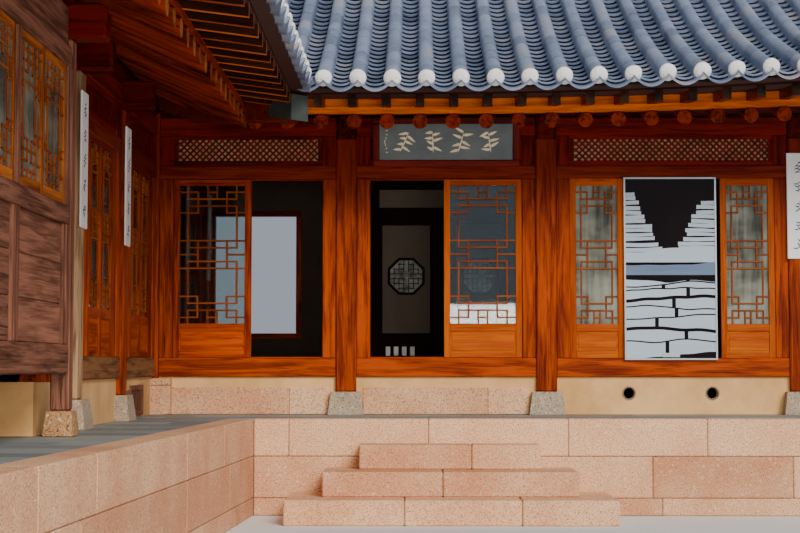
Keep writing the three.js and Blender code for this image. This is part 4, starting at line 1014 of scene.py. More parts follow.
def ridge_courses(work, run, across, half, tall, low):
    """Lime at the foot, stepped tile courses, and an arched crown."""
    crown_radius, course = 0.075, 0.045
    body = tall - crown_radius
    work.drawn(rectangle(half - 0.02, low, body), run, across, material=1)
    count = int((body - 0.06) / course)
    for k in range(count):
        bottom = 0.055 + course * k
        width = half - (0.004 if k % 2 else 0.018) - 0.004 * k
        work.drawn(rectangle(width, bottom, bottom + course - 0.012), run, across)
    crown = [(x, body - 0.01 + z) for x, z in arc(crown_radius, 0.0, math.pi, 8)]
    crown = [(crown_radius, body - 0.05), *crown, (-crown_radius, body - 0.05)]
    work.drawn(crown, run, across)


def build_ridges():
    for wing, lines in ridge_lines().items():
        work = Joinery()
        for line in lines:
            ridge_courses(work, *line)
        piece(f"ridge_tiles_{wing}", work.bm, [TILE, LIME], replaces=[f"ridge_{wing}"])


build_ridges()

# %% [markdown]
# ## Wall members
# Every wall is joinery in one plane. A wall's own frame runs x along it and y in from its post
# line, so the same few lines of code make a front bay, a bay of the side wing or the raised
# room. Posts are squared trunks with their arrises taken off.

# %% Walls and posts
class WallWork(Joinery):
    """Members of one wall: x runs along it, y goes in from its post line, z is up."""

    def __init__(self, x, y, along):
        super().__init__()
        along = Vector(along)
        self.turn = stand(along, UP.cross(along), UP, (x, y, 0))

    def bar(self, across, tall, depth, edge=0.004, tone=None, material=0, along=None):
        (x0, x1), (z0, z1), (y0, y1) = across, tall, depth
        run = along or ((1, 0, 0) if x1 - x0 > z1 - z0 else (0, 0, 1))
        return self.block((x0, y0, z0), (x1, y1, z1), run, edge, tone, material, self.turn)

    def stick(self, outline, ends, across, up, tone, material):
        """An outline drawn between two points, all in the wall's frame."""
        spin = self.turn.to_3x3()
        stations = [self.turn @ Vector(end) for end in ends]
        turned = [spin @ Vector(v) for v in (across, up)]
        return self.drawn(outline, stations, *turned, tone=tone, material=material)


POST = 0.215
EDGE = 0.014


def post(node, finish, tone):
    work = Joinery()
    work.block(*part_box(node), UP, EDGE, tone)
    piece(f"timber_{node}", work.bm, [finish], replaces=[node])


for node in ("post_corner", "post_ab", "post_bc", "post_right", "post_wing_1", "post_wing_2"):
    post(node, BLEACHED if node == "post_wing_2" else STAIN, 0.55)
for node in frame["nodes"]:
    if node.startswith("pavilion_post"):
        post(node, OLD, 0.5)

# %% [markdown]
# ## Bay frames and their lattice transoms
# A front bay is a heavy sill, two jambs, a lintel and the upper beam, with a long transom between
# them: a lattice of thin crossed bars over paper. Each member is its own block, so the grain of
# the jambs runs up and the grain of the beams runs along, as in the real joints.

# %% Bay frames
FRAME_FRONT, FRAME_BACK = -0.08, 0.06
JAMB = 0.145
TRANSOM_LOW, TRANSOM_HIGH, TRANSOM_MARGIN, TRANSOM_PLATE = 3.625, 3.853, 0.197, 0.06
LATTICE_PITCH = 0.068


def paper_finish():
    f = Finish("mulberry_paper_painted_shade", 0.85)
    spots = f.place()
    cloud = f.noise(spots, 5.0, 3.0, 0.6)
    fibre = f.noise(f.place((40.0, 40.0, 9.0)), 3.0, 3.0, 0.7)
    # painted shade: the paper is painted darker than it is, for the shade of the eaves over the
    # transoms
    colour = f.mix((0.22, 0.17, 0.09), (0.42, 0.34, 0.20), cloud.step(0.3, 0.7))
    return f.coat(f.shade(colour, 0.94 + fibre * 0.12), None, fibre, 0.001, 0.4)


PAPER = paper_finish()


def transom(work, left, right):
    """Plates round the opening, paper behind it and crossed bars in it."""
    front, back = FRAME_FRONT + 0.02, FRAME_BACK - 0.02
    opening = low, high = TRANSOM_LOW, TRANSOM_HIGH
    outer = (left - TRANSOM_PLATE, right + TRANSOM_PLATE)
    for ends, tall in ((outer, (LINTEL_TOP - 0.002, low)), (outer, (high, BEAM_BOTTOM + 0.002)),
                       ((outer[0], left), opening), ((right, outer[1]), opening)):
        work.bar(ends, tall, (front, back), material=3)
    work.bar((left, right), opening, (front + 0.022, back - 0.005), 0, 0.5, 2)
    rise, section = high - low, rectangle(0.0145, 0, 0.011)
    for foot, head, depth in ((low, high, front + 0.003), (high, low, front + 0.008)):
        start = left - rise
        while start < right:
            ends = clip([(start, foot), (start + rise, head)], left, right)
            if ends:
                points = [(x, depth, z) for x, z in ends]
                work.stick(section, points, (1, 0, 0), (0, 1, 0), 0.6, 3)
            start += LATTICE_PITCH


def clip(ends, left, right):
    """The part of a sloping line that lies between left and right."""
    (x0, z0), (x1, z1) = ends
    start, stop = max(x0, left), min(x1, right)
    if stop - start < 0.02:
        return None
    slope = (z1 - z0) / (x1 - x0)
    return [(start, z0 + slope * (start - x0)), (stop, z0 + slope * (stop - x0))]


def bay_frame(work, start, end, jamb=JAMB, tracks=False, sill=0):
    """Sill, lintel, beam, jambs and transom. Sill is the number of the sill's finish."""
    front, back = FRAME_FRONT, FRAME_BACK
    side = (front + 0.005, back - 0.005)
    work.bar((start, end), (SILL_BOTTOM, SILL_TOP), (front, back), 0.01, 0.75, sill)
    work.bar((start, end), (LINTEL_BOTTOM, LINTEL_TOP), (front, back), 0.008, 0.55)
    # finish 3 is the painted shade of the members high under the eaves
    work.bar((start, end), (BEAM_BOTTOM, PURLIN_BOTTOM), (front - 0.005, back + 0.005), 0.01, 0.8,
             material=3)
    for x0, x1 in ((start, start + jamb), (end - jamb, end)):
        work.bar((x0, x1), (SILL_TOP, LINTEL_BOTTOM), side, 0.008)
        work.bar((x0, x1), (LINTEL_TOP, BEAM_BOTTOM), side, 0.006, 0.3, 3)
    left, right = start + TRANSOM_MARGIN, end - TRANSOM_MARGIN
    for x0, x1 in ((start + jamb, left - TRANSOM_PLATE), (right + TRANSOM_PLATE, end - jamb)):
        if x1 - x0 > 0.01:
            work.bar((x0, x1), (LINTEL_TOP, BEAM_BOTTOM), (front + 0.02, back - 0.02), 0.003, 0.3,
                     3)
    transom(work, left, right)
    if tracks:
        sliding_tracks(work, start + jamb, end - jamb)


def sliding_tracks(work, start, end):
    """Guide strips between the two rows of leaves, and a runner under each row."""
    work.bar((start, end), (SILL_TOP, SILL_TOP + 0.012), (-0.028, -0.012), 0.002, 0.8)
    work.bar((start, end), (LINTEL_BOTTOM - 0.012, LINTEL_BOTTOM), (-0.028, -0.012), 0.002, 0.6)
    for line in (-0.05, 0.01):
        work.bar((start, end), (SILL_TOP, SILL_TOP + 0.0055), (line - 0.008, line + 0.008), 0, 0.7)


for node, tracks in (("frame_bay_a", True), ("frame_bay_b", True), ("frame_bay_c", False)):
    work = WallWork(0, FRONT_Y, EAST)
    low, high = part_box(node)
    bay_frame(work, low[0], high[0], tracks=tracks)
    piece(f"joinery_{node}", work.bm, [STAIN, BAR, PAPER, UPPER_SHADE_STAIN], replaces=[node])
print("bay frames use a lattice pitch of", LATTICE_PITCH, "m")

# %% [markdown]
# ## Lattice doors
# A leaf has two stiles and three rails, a raised panel below, and glass behind a fret of thin
# bars above. The fret is a list of rows and columns as shares of the glass, mirrored left to
# right, so it fits a wide sliding leaf, a narrow fixed one and the doors of the side wing.

# %% Leaves
LEAF_HALF = 0.018
C1, C2, C3 = 0.13, 0.28, 0.43
LEAF_ROWS = [
    (0.047, (0, C2)), (0.047, (C3, 0.5)), (0.097, (C1, 0.5)), (0.147, (C1, 0.5)),
    (0.197, (0, C2)), (0.40, (0, 0.5)), (0.45, (C1, 0.5)), (0.50, (0, C2)), (0.55, (C1, 0.5)),
    (0.60, (0, 0.5)), (0.803, (0, C2)), (0.853, (C1, 0.5)), (0.904, (C1, 0.5)),
    (0.955, (0, C2)), (0.955, (C3, 0.5)),
]
LEAF_COLUMNS = [
    (C1, (0, 0.097)), (C1, (0.147, 0.45)), (C1, (0.55, 0.853)), (C1, (0.904, 1)),
    (C2, (0.047, 0.197)), (C2, (0.40, 0.60)), (C2, (0.803, 0.955)),
    (C3, (0, 0.097)), (C3, (0.904, 1)),
]


def glass_finish():
    f = Finish("window_glass", 0.02)
    f.shader.inputs["Base Color"].default_value = (0.72, 0.80, 0.80, 1.0)
    f.shader.inputs["Transmission Weight"].default_value = 1.0
    f.shader.inputs["IOR"].default_value = 1.6
    ripple = f.noise(f.place((1.0, 1.0, 0.6)), 2.4, 1.0, 0.4)
    return f.coat(None, None, ripple, 0.004, 0.25)


GLASS = glass_finish()


def curtained_glass():
    """Glass with a pale curtain close behind it. The folds are painted as dark and light bands,
    painted shade in the creases.
    """
    f = Finish("curtained_glass", 0.08)
    folds_and_painted_shade = f.noise(f.place((7.0, 7.0, 0.5)), 2.0, 3.0, 0.6).step(0.3, 0.7)
    cloud = f.noise(f.place((1.0, 1.0, 1.6)), 1.6, 3.0, 0.6).step(0.35, 0.65)
    colour = f.mix((0.030, 0.032, 0.026), (0.27, 0.285, 0.225), folds_and_painted_shade * 0.45 + cloud * 0.55)
    return f.coat(colour, 0.06 + folds_and_painted_shade * 0.05)


CURTAINED = curtained_glass()


def fret(work, across, tall, depth, rows, columns, bar=0.015, material=1):
    """Thin bars between the sides of a glass, mirrored about its middle."""
    (x0, x1), (z0, z1) = across, tall
    width, height, half = x1 - x0, z1 - z0, bar / 2
    for share, (start, end) in rows:
        z = z1 - share * height
        spans = [(start, end), (1 - end, 1 - start)] if end < 0.5 else [(start, 1 - start)]
        for one, other in spans:
            ends = (x0 + one * width - half, x0 + other * width + half)
            ends = (max(ends[0], x0), min(ends[1], x1))
            work.bar(ends, (z - half, z + half), depth, 0.0015, 0.6, material, (1, 0, 0))
    for share, (start, end) in columns:
        reach = (max(z0, z1 - end * height - half), min(z1, z1 - start * height + half))
        for x in (x0 + share * width, x1 - share * width):
            work.bar((x - half, x + half), reach, (depth[0] + 0.001, depth[1]), 0.0015, 0.5,
                     material, (0, 0, 1))


def leaf(work, x, z, width, tall, line, sizes, rows=LEAF_ROWS, columns=LEAF_COLUMNS):
    """Stiles, rails, a raised panel, glass and fret. Sizes: stile, panel and glass heights."""
    stile, panel_low, panel_high, glass_low, glass_high = sizes
    front, back = line - LEAF_HALF, line + LEAF_HALF
    inner = (x + stile, x + width - stile)
    for left in (x, inner[1]):
        work.bar((left, left + stile), (z, z + tall), (front, back), 0.003)
    for low, high in ((0, panel_low), (panel_high, glass_low), (glass_high, tall)):
        work.bar(inner, (z + low, z + high), (front + 0.0005, back - 0.0005), 0.003)
    panel(work, inner, (z + panel_low, z + panel_high), line)
    glass = (z + glass_low, z + glass_high)
    work.bar(inner, glass, (line - 0.002, line + 0.002), 0, 0.5, 2)
    fret(work, inner, glass, (front + 0.003, line - 0.003), rows, columns)


def panel(work, across, tall, line):
    """A thin board, with a raised field on both faces."""
    (x0, x1), (z0, z1) = across, tall
    work.bar(across, tall, (line - 0.006, line + 0.006), 0, 0.85)
    margin = 0.016
    for y0, y1 in ((line - 0.0115, line - 0.005), (line + 0.005, line + 0.0115)):
        work.bar((x0 + margin, x1 - margin), (z0 + margin, z1 - margin), (y0, y1), 0.003, 0.9,
                 along=(1, 0, 0))


MAIN_LEAF = (0.065, 0.06, 0.28, 0.36, 1.83)
for node in ("leaf_a_front", "leaf_a_rear", "leaf_b_front", "leaf_b_rear", "leaf_c_left",
             "leaf_c_right"):
    low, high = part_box(node)
    work = WallWork(0, FRONT_Y, EAST)
    line = (low[1] + high[1]) / 2 - FRONT_Y
    leaf(work, low[0], low[2], high[0] - low[0], high[2] - low[2], line, MAIN_LEAF)
    body = node if node in frame["bodies"] else "house"
    pane = GLASS if body == node else CURTAINED
    wood = SHADED if "leaf_a" in node else HONEY
    piece(f"lattice_{node}", work.bm, [wood, BAR, pane], body, [node])

# %% [markdown]
# ## Doors of the side wing
# The side wing has two narrow lattice doors to a bay, and the lattice transom above them. They
# use the front bays' functions, turned to face the courtyard's other side.

# %% Wing doors
WING_JAMB, WING_INNER = 0.08, 0.36
WING_LEAF = (0.052, 0.06, 0.34, 0.42, 1.846)
WING_LEAVES = 2
WING_ROWS = [
    (0.04, (0, 0.5)), (0.085, (0.2, 0.5)), (0.13, (0, 0.38)), (0.175, (0.2, 0.5)),
    (0.40, (0, 0.5)), (0.445, (0.2, 0.5)), (0.49, (0, 0.38)), (0.535, (0.2, 0.5)),
    (0.58, (0, 0.5)), (0.80, (0.2, 0.5)), (0.84, (0, 0.38)), (0.885, (0.2, 0.5)),
    (0.925, (0, 0.38)), (0.965, (0.2, 0.5)),
]
WING_COLUMNS = [
    (0.2, (0.04, 0.965)), (0.38, (0, 0.13)), (0.38, (0.40, 0.58)), (0.38, (0.84, 1)),
]


def door_cheek(work, start, end):
    """The boarded strip between a jamb and the doors."""
    work.bar((start, end), (SILL_TOP, LINTEL_BOTTOM), (-0.06, -0.02), 0.003, along=(0, 0, 1))
    inner = (end - 0.07, end) if end > start + 0.07 else (start, end)
    work.bar(inner, (SILL_TOP, LINTEL_BOTTOM), (-0.073, 0.0), 0.005, 0.8, along=(0, 0, 1))


for node in ("wing_door_bay_1", "wing_door_bay_2"):
    low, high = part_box(node)
    work = WallWork(CORNER_X, 0, (0, 1, 0))
    start, end = low[1], high[1]
    bay_frame(work, start, end, WING_JAMB, sill=4)
    door_cheek(work, start + WING_JAMB, start + WING_INNER)
    door_cheek(work, end - WING_INNER, end - WING_JAMB)
    width = (end - start - 2 * WING_INNER) / WING_LEAVES
    for k in range(WING_LEAVES):
        leaf(work, start + WING_INNER + k * width, SILL_TOP, width, LINTEL_BOTTOM - SILL_TOP,
             -0.05, WING_LEAF, WING_ROWS, WING_COLUMNS)
    piece(f"lattice_{node}", work.bm, [STAIN, BAR, GLASS, UPPER_SHADE_STAIN, WORN],
          replaces=[node])
print("doors in each bay of the side wing:", WING_LEAVES)

# %% [markdown]
# ## The raised room
# The room at the end of the side wing was never oiled: floor beam, three wide boards, sill,
# windows and lintel have gone grey-brown, while its window leaves are newer and honey coloured.
# Its windows have a dense fret at the top and the bottom, and curtained glass between.

# %% Walls of the raised room
ROOM_FLOOR = 1.6
BOARD_TOP, WINDOW_LOW, WINDOW_HIGH, ROOM_LINTEL_TOP = 2.48, 2.616, 3.65, 3.80
SIDE_JAMB, MULLION, TIE_SEAT, TIE_GAP = 0.07, 0.075, 3.8595, 0.0303
WINDOW_LINE = -0.020
WINDOW_STILE, PANE_LOW, PANE_HIGH = 0.042, 0.08, 0.974
WINDOW_ROWS = [
    (0.06, (0, 0.5)), (0.14, (0.2, 0.5)), (0.22, (0, 0.4)), (0.30, (0.2, 0.5)), (0.36, (0, 0.2)),
    (0.66, (0, 0.2)), (0.72, (0, 0.4)), (0.80, (0.2, 0.5)), (0.88, (0, 0.4)), (0.95, (0.2, 0.5)),
]
WINDOW_COLUMNS = [
    (0.2, (0, 1)), (0.4, (0, 0.22)), (0.4, (0.72, 0.88)), (0.4, (0.95, 1)), (0.1, (0.22, 0.36)),
    (0.1, (0.66, 0.72)),
]


def window_leaf(work, x, width):
    """Stiles, rails, a pane and a dense fret."""
    front, back = WINDOW_LINE - 0.015, WINDOW_LINE + 0.015
    inner = (x + WINDOW_STILE, x + width - WINDOW_STILE)
    for left in (x, inner[1]):
        work.bar((left, left + WINDOW_STILE), (WINDOW_LOW, WINDOW_HIGH), (front, back), 0.003,
                 material=1)
    glass = (WINDOW_LOW + PANE_LOW, WINDOW_LOW + PANE_HIGH)
    for tall in ((WINDOW_LOW, glass[0]), (glass[1], WINDOW_HIGH)):
        work.bar(inner, tall, (front + 0.001, back - 0.001), 0.003, material=1)
    work.bar(inner, glass, (WINDOW_LINE - 0.002, WINDOW_LINE + 0.002), 0, 0.5, 3)
    fret(work, inner, glass, (front + 0.002, WINDOW_LINE - 0.003), WINDOW_ROWS, WINDOW_COLUMNS,
         0.016, 2)


def room_boards(work, start, end):
    """Three wide boards one on another between two stiles, with open joints."""
    stile, half, joint = 0.05, 0.025, 0.002
    step = (BOARD_TOP - ROOM_FLOOR) / 3
    for x0, x1 in ((start, start + stile), (end - stile, end)):
        work.bar((x0, x1), (ROOM_FLOOR, BOARD_TOP), (-half - 0.02, half + 0.02), 0.006, 0.3)
    for k in range(3):
        low = ROOM_FLOOR + k * step
        work.bar((start + stile, end - stile), (low + joint, low + step - joint), (-half, half),
                 0.006, along=(1, 0, 0))


def room_wall(work, length, pairs, top):
    """Beams from the floor to the top, posts between them, and boards and windows in each bay."""
    bay = (length - 2 * SIDE_JAMB - (pairs - 1) * MULLION) / pairs
    whole = (0, length)
    work.bar(whole, (1.39, ROOM_FLOOR), (-0.065, 0.065), 0.01, 0.35)
    work.bar(whole, (BOARD_TOP, WINDOW_LOW), (-0.06, 0.06), 0.008, 0.4)
    work.bar(whole, (WINDOW_HIGH, ROOM_LINTEL_TOP), (-0.06, 0.06), 0.008, 0.45)
    work.bar(whole, (ROOM_LINTEL_TOP, TIE_SEAT), (-0.04, 0.04), 0.003, 0.4)
    if top > TIE_SEAT + 0.04:
        work.bar((TIE_GAP, length - TIE_GAP), (TIE_SEAT, top), (-0.04, 0.04), 0.003, 0.4)
    lower, upper = (ROOM_FLOOR, BOARD_TOP), (WINDOW_LOW, WINDOW_HIGH)
    for x0, x1 in ((0, SIDE_JAMB), (length - SIDE_JAMB, length)):
        work.bar((x0, x1), lower, (-0.055, 0.055), 0.006, 0.5)
        work.bar((x0, x1), upper, (-0.055, 0.055), 0.006, 0.5)
    for k in range(pairs):
        x = SIDE_JAMB + k * (bay + MULLION)
        if k:
            work.bar((x - MULLION, x), upper, (-0.055, 0.055), 0.006, 0.4)
            work.bar((x - MULLION, x), lower, (-0.05, 0.05), 0.006, 0.4)
        room_boards(work, x, x + bay)
        for side in (0, 1):
            window_leaf(work, x + side * bay / 2, bay / 2)


def room_side(side, pairs):
    node = f"pavilion_wall_{side}"
    low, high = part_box(node)
    x, y, along, length = {
        "east": (PAVILION_X, low[1], (0, 1, 0), high[1] - low[1]),
        "west": (WEST_X, high[1], (0, -1, 0), high[1] - low[1]),
        "front": (low[0], PAVILION_FRONT_Y, EAST, high[0] - low[0]),
    }[side]
    work = WallWork(x, y, along)
    room_wall(work, length, pairs, high[2])
    piece(f"joinery_{node}", work.bm, [OLD, SASH, BAR, CURTAINED], replaces=[node])


ROOM_PAIRS = {"east": 2, "west": 2, "front": 3}
for side, pairs in ROOM_PAIRS.items():
    room_side(side, pairs)
print("window pairs of the raised room:", ROOM_PAIRS)

# %% [markdown]
# ## Granite
# The platform is faced with pink-grey granite, sawn and then pecked by hand. The finish has a
# fine crystal speckle of pale, rosy and dark grains, and broad clouds of colour. Each block's
# tone sets it apart from its neighbours, and the bump is a pecked face.

# %% Stone finishes
def granite_finish(name, base, rosy, dark, speckle):
    f = Finish(name)
    spots = f.place()
    tone = f.attribute("tone")
    cloud = f.noise(spots, 1.4, 4.0, 0.6).step(0.25, 0.75)
    grains = f.noise(spots, 85.0, 2.0, 0.7)
    coarse = f.noise(spots, 32.0, 2.0, 0.6)
    colour = f.mix(base, rosy, (cloud * 0.6 - tone * 0.6 + 0.4).step(0.0, 1.0))
    colour = f.mix(colour, dark, grains.step(0.50, 0.66) * 0.75 * speckle)
    colour = f.mix(colour, (0.88, 0.74, 0.58), coarse.step(0.58, 0.75) * 0.4 * speckle)
    colour = f.shade(colour, 0.88 + tone * 0.2)
    return f.coat(colour, 0.85 - coarse * 0.1, grains + coarse, 0.004, 0.7)


def slate_finish():
    f = Finish("slate_paving", 0.55)
    spots = f.place()
    tone = f.attribute("tone")
    cloud = f.noise(spots, 3.0, 4.0, 0.6)
    layer = f.noise(f.place((9.0, 9.0, 40.0)), 1.4, 5.0, 0.65)
    colour = f.mix((0.12, 0.14, 0.145), (0.32, 0.34, 0.31), tone * 0.6 + cloud * 0.4)
    return f.coat(colour, 0.45 + cloud * 0.25, layer, 0.012, 0.6)


GRANITE = granite_finish("pink_granite", (0.82, 0.49, 0.275), (0.66, 0.28, 0.130),
                         (0.26, 0.12, 0.06), 1.3)
PLINTH_STONE = granite_finish("grey_granite", (0.46, 0.36, 0.25), (0.40, 0.27, 0.17),
                              (0.12, 0.085, 0.06), 1.5)
TAN_STONE = granite_finish("tan_granite", (0.50, 0.27, 0.11), (0.42, 0.20, 0.075),
                           (0.09, 0.04, 0.02), 1.6)
SLATE = slate_finish()
MORTAR = granite_finish("joint_bed", (0.22, 0.17, 0.13), (0.18, 0.13, 0.10),
                        (0.08, 0.06, 0.05), 0.5)
print("stone finishes:", GRANITE.name, PLINTH_STONE.name, SLATE.name)

# %% [markdown]
# ## The platform
# Long blocks are laid in three courses, with joints staggered. The blocks of the top course are
# deep, so they show as a pale band round grey slate paving. Each block is a bevelled cube, and
# the blocks stand on a core that keeps inside the solid, so the joints are true gaps.

# %% Courses of blocks
COURSE_HEIGHTS = (0.17, 0.40, 0.36)
JOINT, FACING, COPING, STONE_EDGE = 0.005, 0.07, 0.26, 0.009
(WEST_EDGE, MAIN_FRONT, _), (EAST_EDGE, BACK_EDGE, _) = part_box("platform_main")
WING_EDGE, WING_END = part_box("platform_wing")[1][0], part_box("platform_wing")[0][1]
SPLAY = 0.45
INSET = JOINT + 0.01


def course_cuts(length, shift):
    """Joint places along a course: block lengths in turn, started at a shift."""
    widths = (1.62, 1.33, 1.78, 1.21)
    cuts, x, k = [0.0], -shift, 0
    while x < length:
        x += widths[k % len(widths)]
        k += 1
        if 0.35 < x < length - 0.35:
            cuts.append(x)
    return cuts + [length]


FRONT_JOINTS = [(1.05, 2.52, 3.94, 5.3), (1.20, 2.50, 3.85, 5.2), (0.34, 1.69, 3.04, 4.38, 5.6)]
WING_JOINTS = [(1.9, 3.9, 6.3, 7.9), (1.1, 2.6, 5.67, 7.6), (1.75, 2.95, 5.67, 7.3)]


def face_courses(work, start, end, corners=(True, True), joints=None, top_tone=(0.65, 1.0)):
    """Blocks of one side, whose outer faces lie in the line from start to end."""
    start, end = Vector((*start, 0)), Vector((*end, 0))
    along = (end - start).normalized()
    length = (end - start).length
    turn = stand(along, UP.cross(along), UP, start)
    bottom = 0.0
    for k, tall in enumerate(COURSE_HEIGHTS):
        deep = COPING if k == 2 else FACING
        cuts = [0.0, *joints[k], length] if joints else course_cuts(length, 0.35 + 0.57 * k)
        cuts[0] += 0.0 if corners[0] else deep
        for x0, x1 in zip(cuts, cuts[1:]):
            low = (x0 + JOINT / 2, 0.0, bottom + JOINT / 2)
            high = (x1 - JOINT / 2, deep, bottom + tall - (0.0 if k == 2 else JOINT / 2))
            tone = chance.uniform(*top_tone) if k == 2 else chance.uniform(0.0, 0.6)
            work.block(low, high, (1, 0, 0), STONE_EDGE, tone, turn=turn)
        bottom += tall


def wing_edge_at(y):
    """X of the side wing's splayed edge."""
    return WING_EDGE - SPLAY * (MAIN_FRONT - y) / (MAIN_FRONT - WING_END)


def pave(work, x0, x1, y0, y1, splayed=False):
    """Rows of slate slabs, level with the top of the coping."""
    row, y = 0, y0
    while y < y1 - 0.05:
        deep = min(0.46, y1 - y)
        far = wing_edge_at(y + deep / 2) - COPING if splayed else x1
        x = x0 - (0.4 if row % 2 else 0.0)
        while x < far - 0.01:
            wide = chance.uniform(0.62, 0.98)
            end = far if x + wide > far - 0.25 else x + wide
            low = (max(x, x0) + JOINT / 2, y + JOINT / 2, PLATFORM_TOP - 0.05)
            high = (end - JOINT / 2, y + deep - JOINT / 2, PLATFORM_TOP - 0.002)
            if high[0] - low[0] > 0.05:
                verts = work.block(low, high, (1, 0, 0), 0.004, material=1)
                if splayed and end == far:
                    shear_to_edge(verts, (low[0] + high[0]) / 2, y + deep / 2)
            x = end
        y += deep
        row += 1


def shear_to_edge(verts, middle_x, middle_y):
    """The last slab of a row is cut along the splayed edge."""
    for vert in verts:
        if vert.co.x > middle_x:
            vert.co.x += wing_edge_at(vert.co.y) - wing_edge_at(middle_y)


def core(work, outline):
    """A solid bed under the blocks and slabs, drawn from an outline of (x, y)."""
    stations = [(0, 0, 0.002), (0, 0, PLATFORM_TOP - 0.04)]
    work.drawn(outline, stations, (1, 0, 0), (0, 1, 0), 0.5, 2)


def platform_main():
    work = Joinery()
    front, right = (WING_EDGE, MAIN_FRONT), (EAST_EDGE, MAIN_FRONT)
    back, left = (EAST_EDGE, BACK_EDGE), (WEST_EDGE, BACK_EDGE)
    face_courses(work, front, right, joints=FRONT_JOINTS)
    face_courses(work, right, back, (False, True))
    face_courses(work, back, left, (False, True))
    face_courses(work, left, (WEST_EDGE, MAIN_FRONT), (False, True))
    core(work, [(WEST_EDGE + INSET, MAIN_FRONT + INSET), (EAST_EDGE - INSET, MAIN_FRONT + INSET),
                (EAST_EDGE - INSET, BACK_EDGE - INSET), (WEST_EDGE + INSET, BACK_EDGE - INSET)])
    pave(work, WEST_EDGE + COPING, EAST_EDGE - COPING, MAIN_FRONT + COPING, BACK_EDGE - COPING)
    pave(work, WEST_EDGE + COPING, WING_EDGE - COPING, MAIN_FRONT, MAIN_FRONT + COPING)
    piece("stone_platform_main", work.bm, [GRANITE, SLATE, MORTAR],
          replaces=["platform_main"])


def platform_wing():
    work = Joinery()
    top = MAIN_FRONT - 0.0005
    west, east = (WEST_EDGE, WING_END), (WING_EDGE - SPLAY, WING_END)
    face_courses(work, (WEST_EDGE, top), west)
    face_courses(work, west, east, (False, True))
    face_courses(work, east, (WING_EDGE, top), (False, True), WING_JOINTS, (0.1, 0.4))
    core(work, [(WEST_EDGE + INSET, WING_END + INSET),
                (WING_EDGE - SPLAY - INSET, WING_END + INSET),
                (WING_EDGE - INSET, top), (WEST_EDGE + INSET, top)])
    pave(work, WEST_EDGE + COPING, WING_EDGE, WING_END + COPING, top, True)
    piece("stone_platform_wing", work.bm, [GRANITE, SLATE, MORTAR],
          replaces=["platform_wing"])


platform_main()
platform_wing()
print("platform edges X", WEST_EDGE, EAST_EDGE, "front", MAIN_FRONT, "wing end", WING_END)

# %% [markdown]
# ## Steps and post stones
# Each step is two or three granite blocks. A post of the raised room stands on a tapered stone,
# which is a cube with its top drawn in and its edges rounded.

# %% Steps and post stones
STONE_HALF, STONE_HEAD = 0.115, 0.095


def stone_step(node, cuts):
    low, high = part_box(node)
    work = Joinery()
    marks = [low[0] + (high[0] - low[0]) * share for share in (0, *cuts, 1)]
    for x0, x1 in zip(marks, marks[1:]):
        work.block((x0 + JOINT / 2, low[1], low[2]), (x1 - JOINT / 2, high[1], high[2]),
                   (1, 0, 0), 0.012)
    piece(f"stone_{node}", work.bm, [GRANITE], replaces=[node])


def post_stone(node):
    low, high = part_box(node)
    work = Joinery()
    verts = bmesh.ops.create_cube(work.bm, size=1.0)["verts"]
    width, share = 2 * STONE_HALF, STONE_HEAD / STONE_HALF
    bmesh.ops.scale(work.bm, vec=(width, width, high[2] - low[2]), verts=verts)
    bmesh.ops.scale(work.bm, vec=(share, share, 1), verts=[v for v in verts if v.co.z > 0])
    verts = work.soften(verts, 0.012, 2)
    bmesh.ops.translate(work.bm, vec=middle(node), verts=verts)
    work.mark(verts, UP)
    piece(f"dressed_{node}", work.bm, [TAN_STONE], replaces=[node])


stone_step("lower_step", (0.36, 0.71))
stone_step("middle_step", (0.47,))
stone_step("upper_step", (0.62,))
for node in list(frame["nodes"]):
    if node.startswith("pavilion_stone"):
        post_stone(node)
print("steps and stones done")

# %% [markdown]
# ## Base walls
# Under the sills, the solid's own form carries the finishes: stone where a post stands and
# plaster between. A course of granite blocks faces it under the first two bays, and two round
# vents open under the third. The side wing's base has a small boarded hatch.

# %% Base walls
COURSE_LOW, COURSE_HIGH, COURSE_END = 0.932, 1.215, 0.18


def turned_ring(work, centre, outline):
    """A ring round the Y axis: an outline of (radius, depth) spun about its centre."""
    centre = Vector(centre)
    corners = [work.bm.verts.new(centre + Vector((r, t, 0))) for r, t in outline]
    face = work.bm.faces.new(corners)
    bmesh.ops.spin(work.bm, geom=[face], cent=centre, axis=(0, 1, 0), angle=TAU, steps=28,
                   use_merge=True)


def base_wall(node, lines):
    """The solid's own form, with stone where a post stands and plaster between."""
    work = merged_copy(node)
    work.mark(work.bm.verts, (1, 0, 0), tone=0.5)
    for face in work.bm.faces:
        spot = face.calc_center_median()
        near = any(abs(spot.x - x) < 0.192 and abs(spot.y - y) < 0.192 for x, y in lines)
        face.material_index = 0 if near else 1
    return work


VENTS = [(4.09, 1.153), (4.97, 1.153)]
work = base_wall("base_main_front", [(x, FRONT_Y) for x in (CORNER_X, AB_X, BC_X, RIGHT_X)])
for x0, x1 in ((CORNER_X, AB_X), (AB_X, BC_X)):
    cuts = course_cuts(x1 - x0 - 2 * COURSE_END, 0.3)
    for a, b in zip(cuts, cuts[1:]):
        work.block((x0 + COURSE_END + a, FRONT_Y - 0.062, COURSE_LOW),
                   (x0 + COURSE_END + b - JOINT, FRONT_Y - 0.04, COURSE_HIGH), (1, 0, 0), 0.005,
                   material=2)
for low, high in ((COURSE_LOW, 1.235), (1.24, 1.31)):
    work.block((CORNER_X - 0.07, FRONT_Y - 0.19, low), (CORNER_X + 0.255, FRONT_Y - 0.03, high),
               (1, 0, 0), 0.006, 0.3, 2)
piece("base_wall_front", work.bm, [PLINTH_STONE, PLASTER, GRANITE],
      replaces=["base_main_front"])

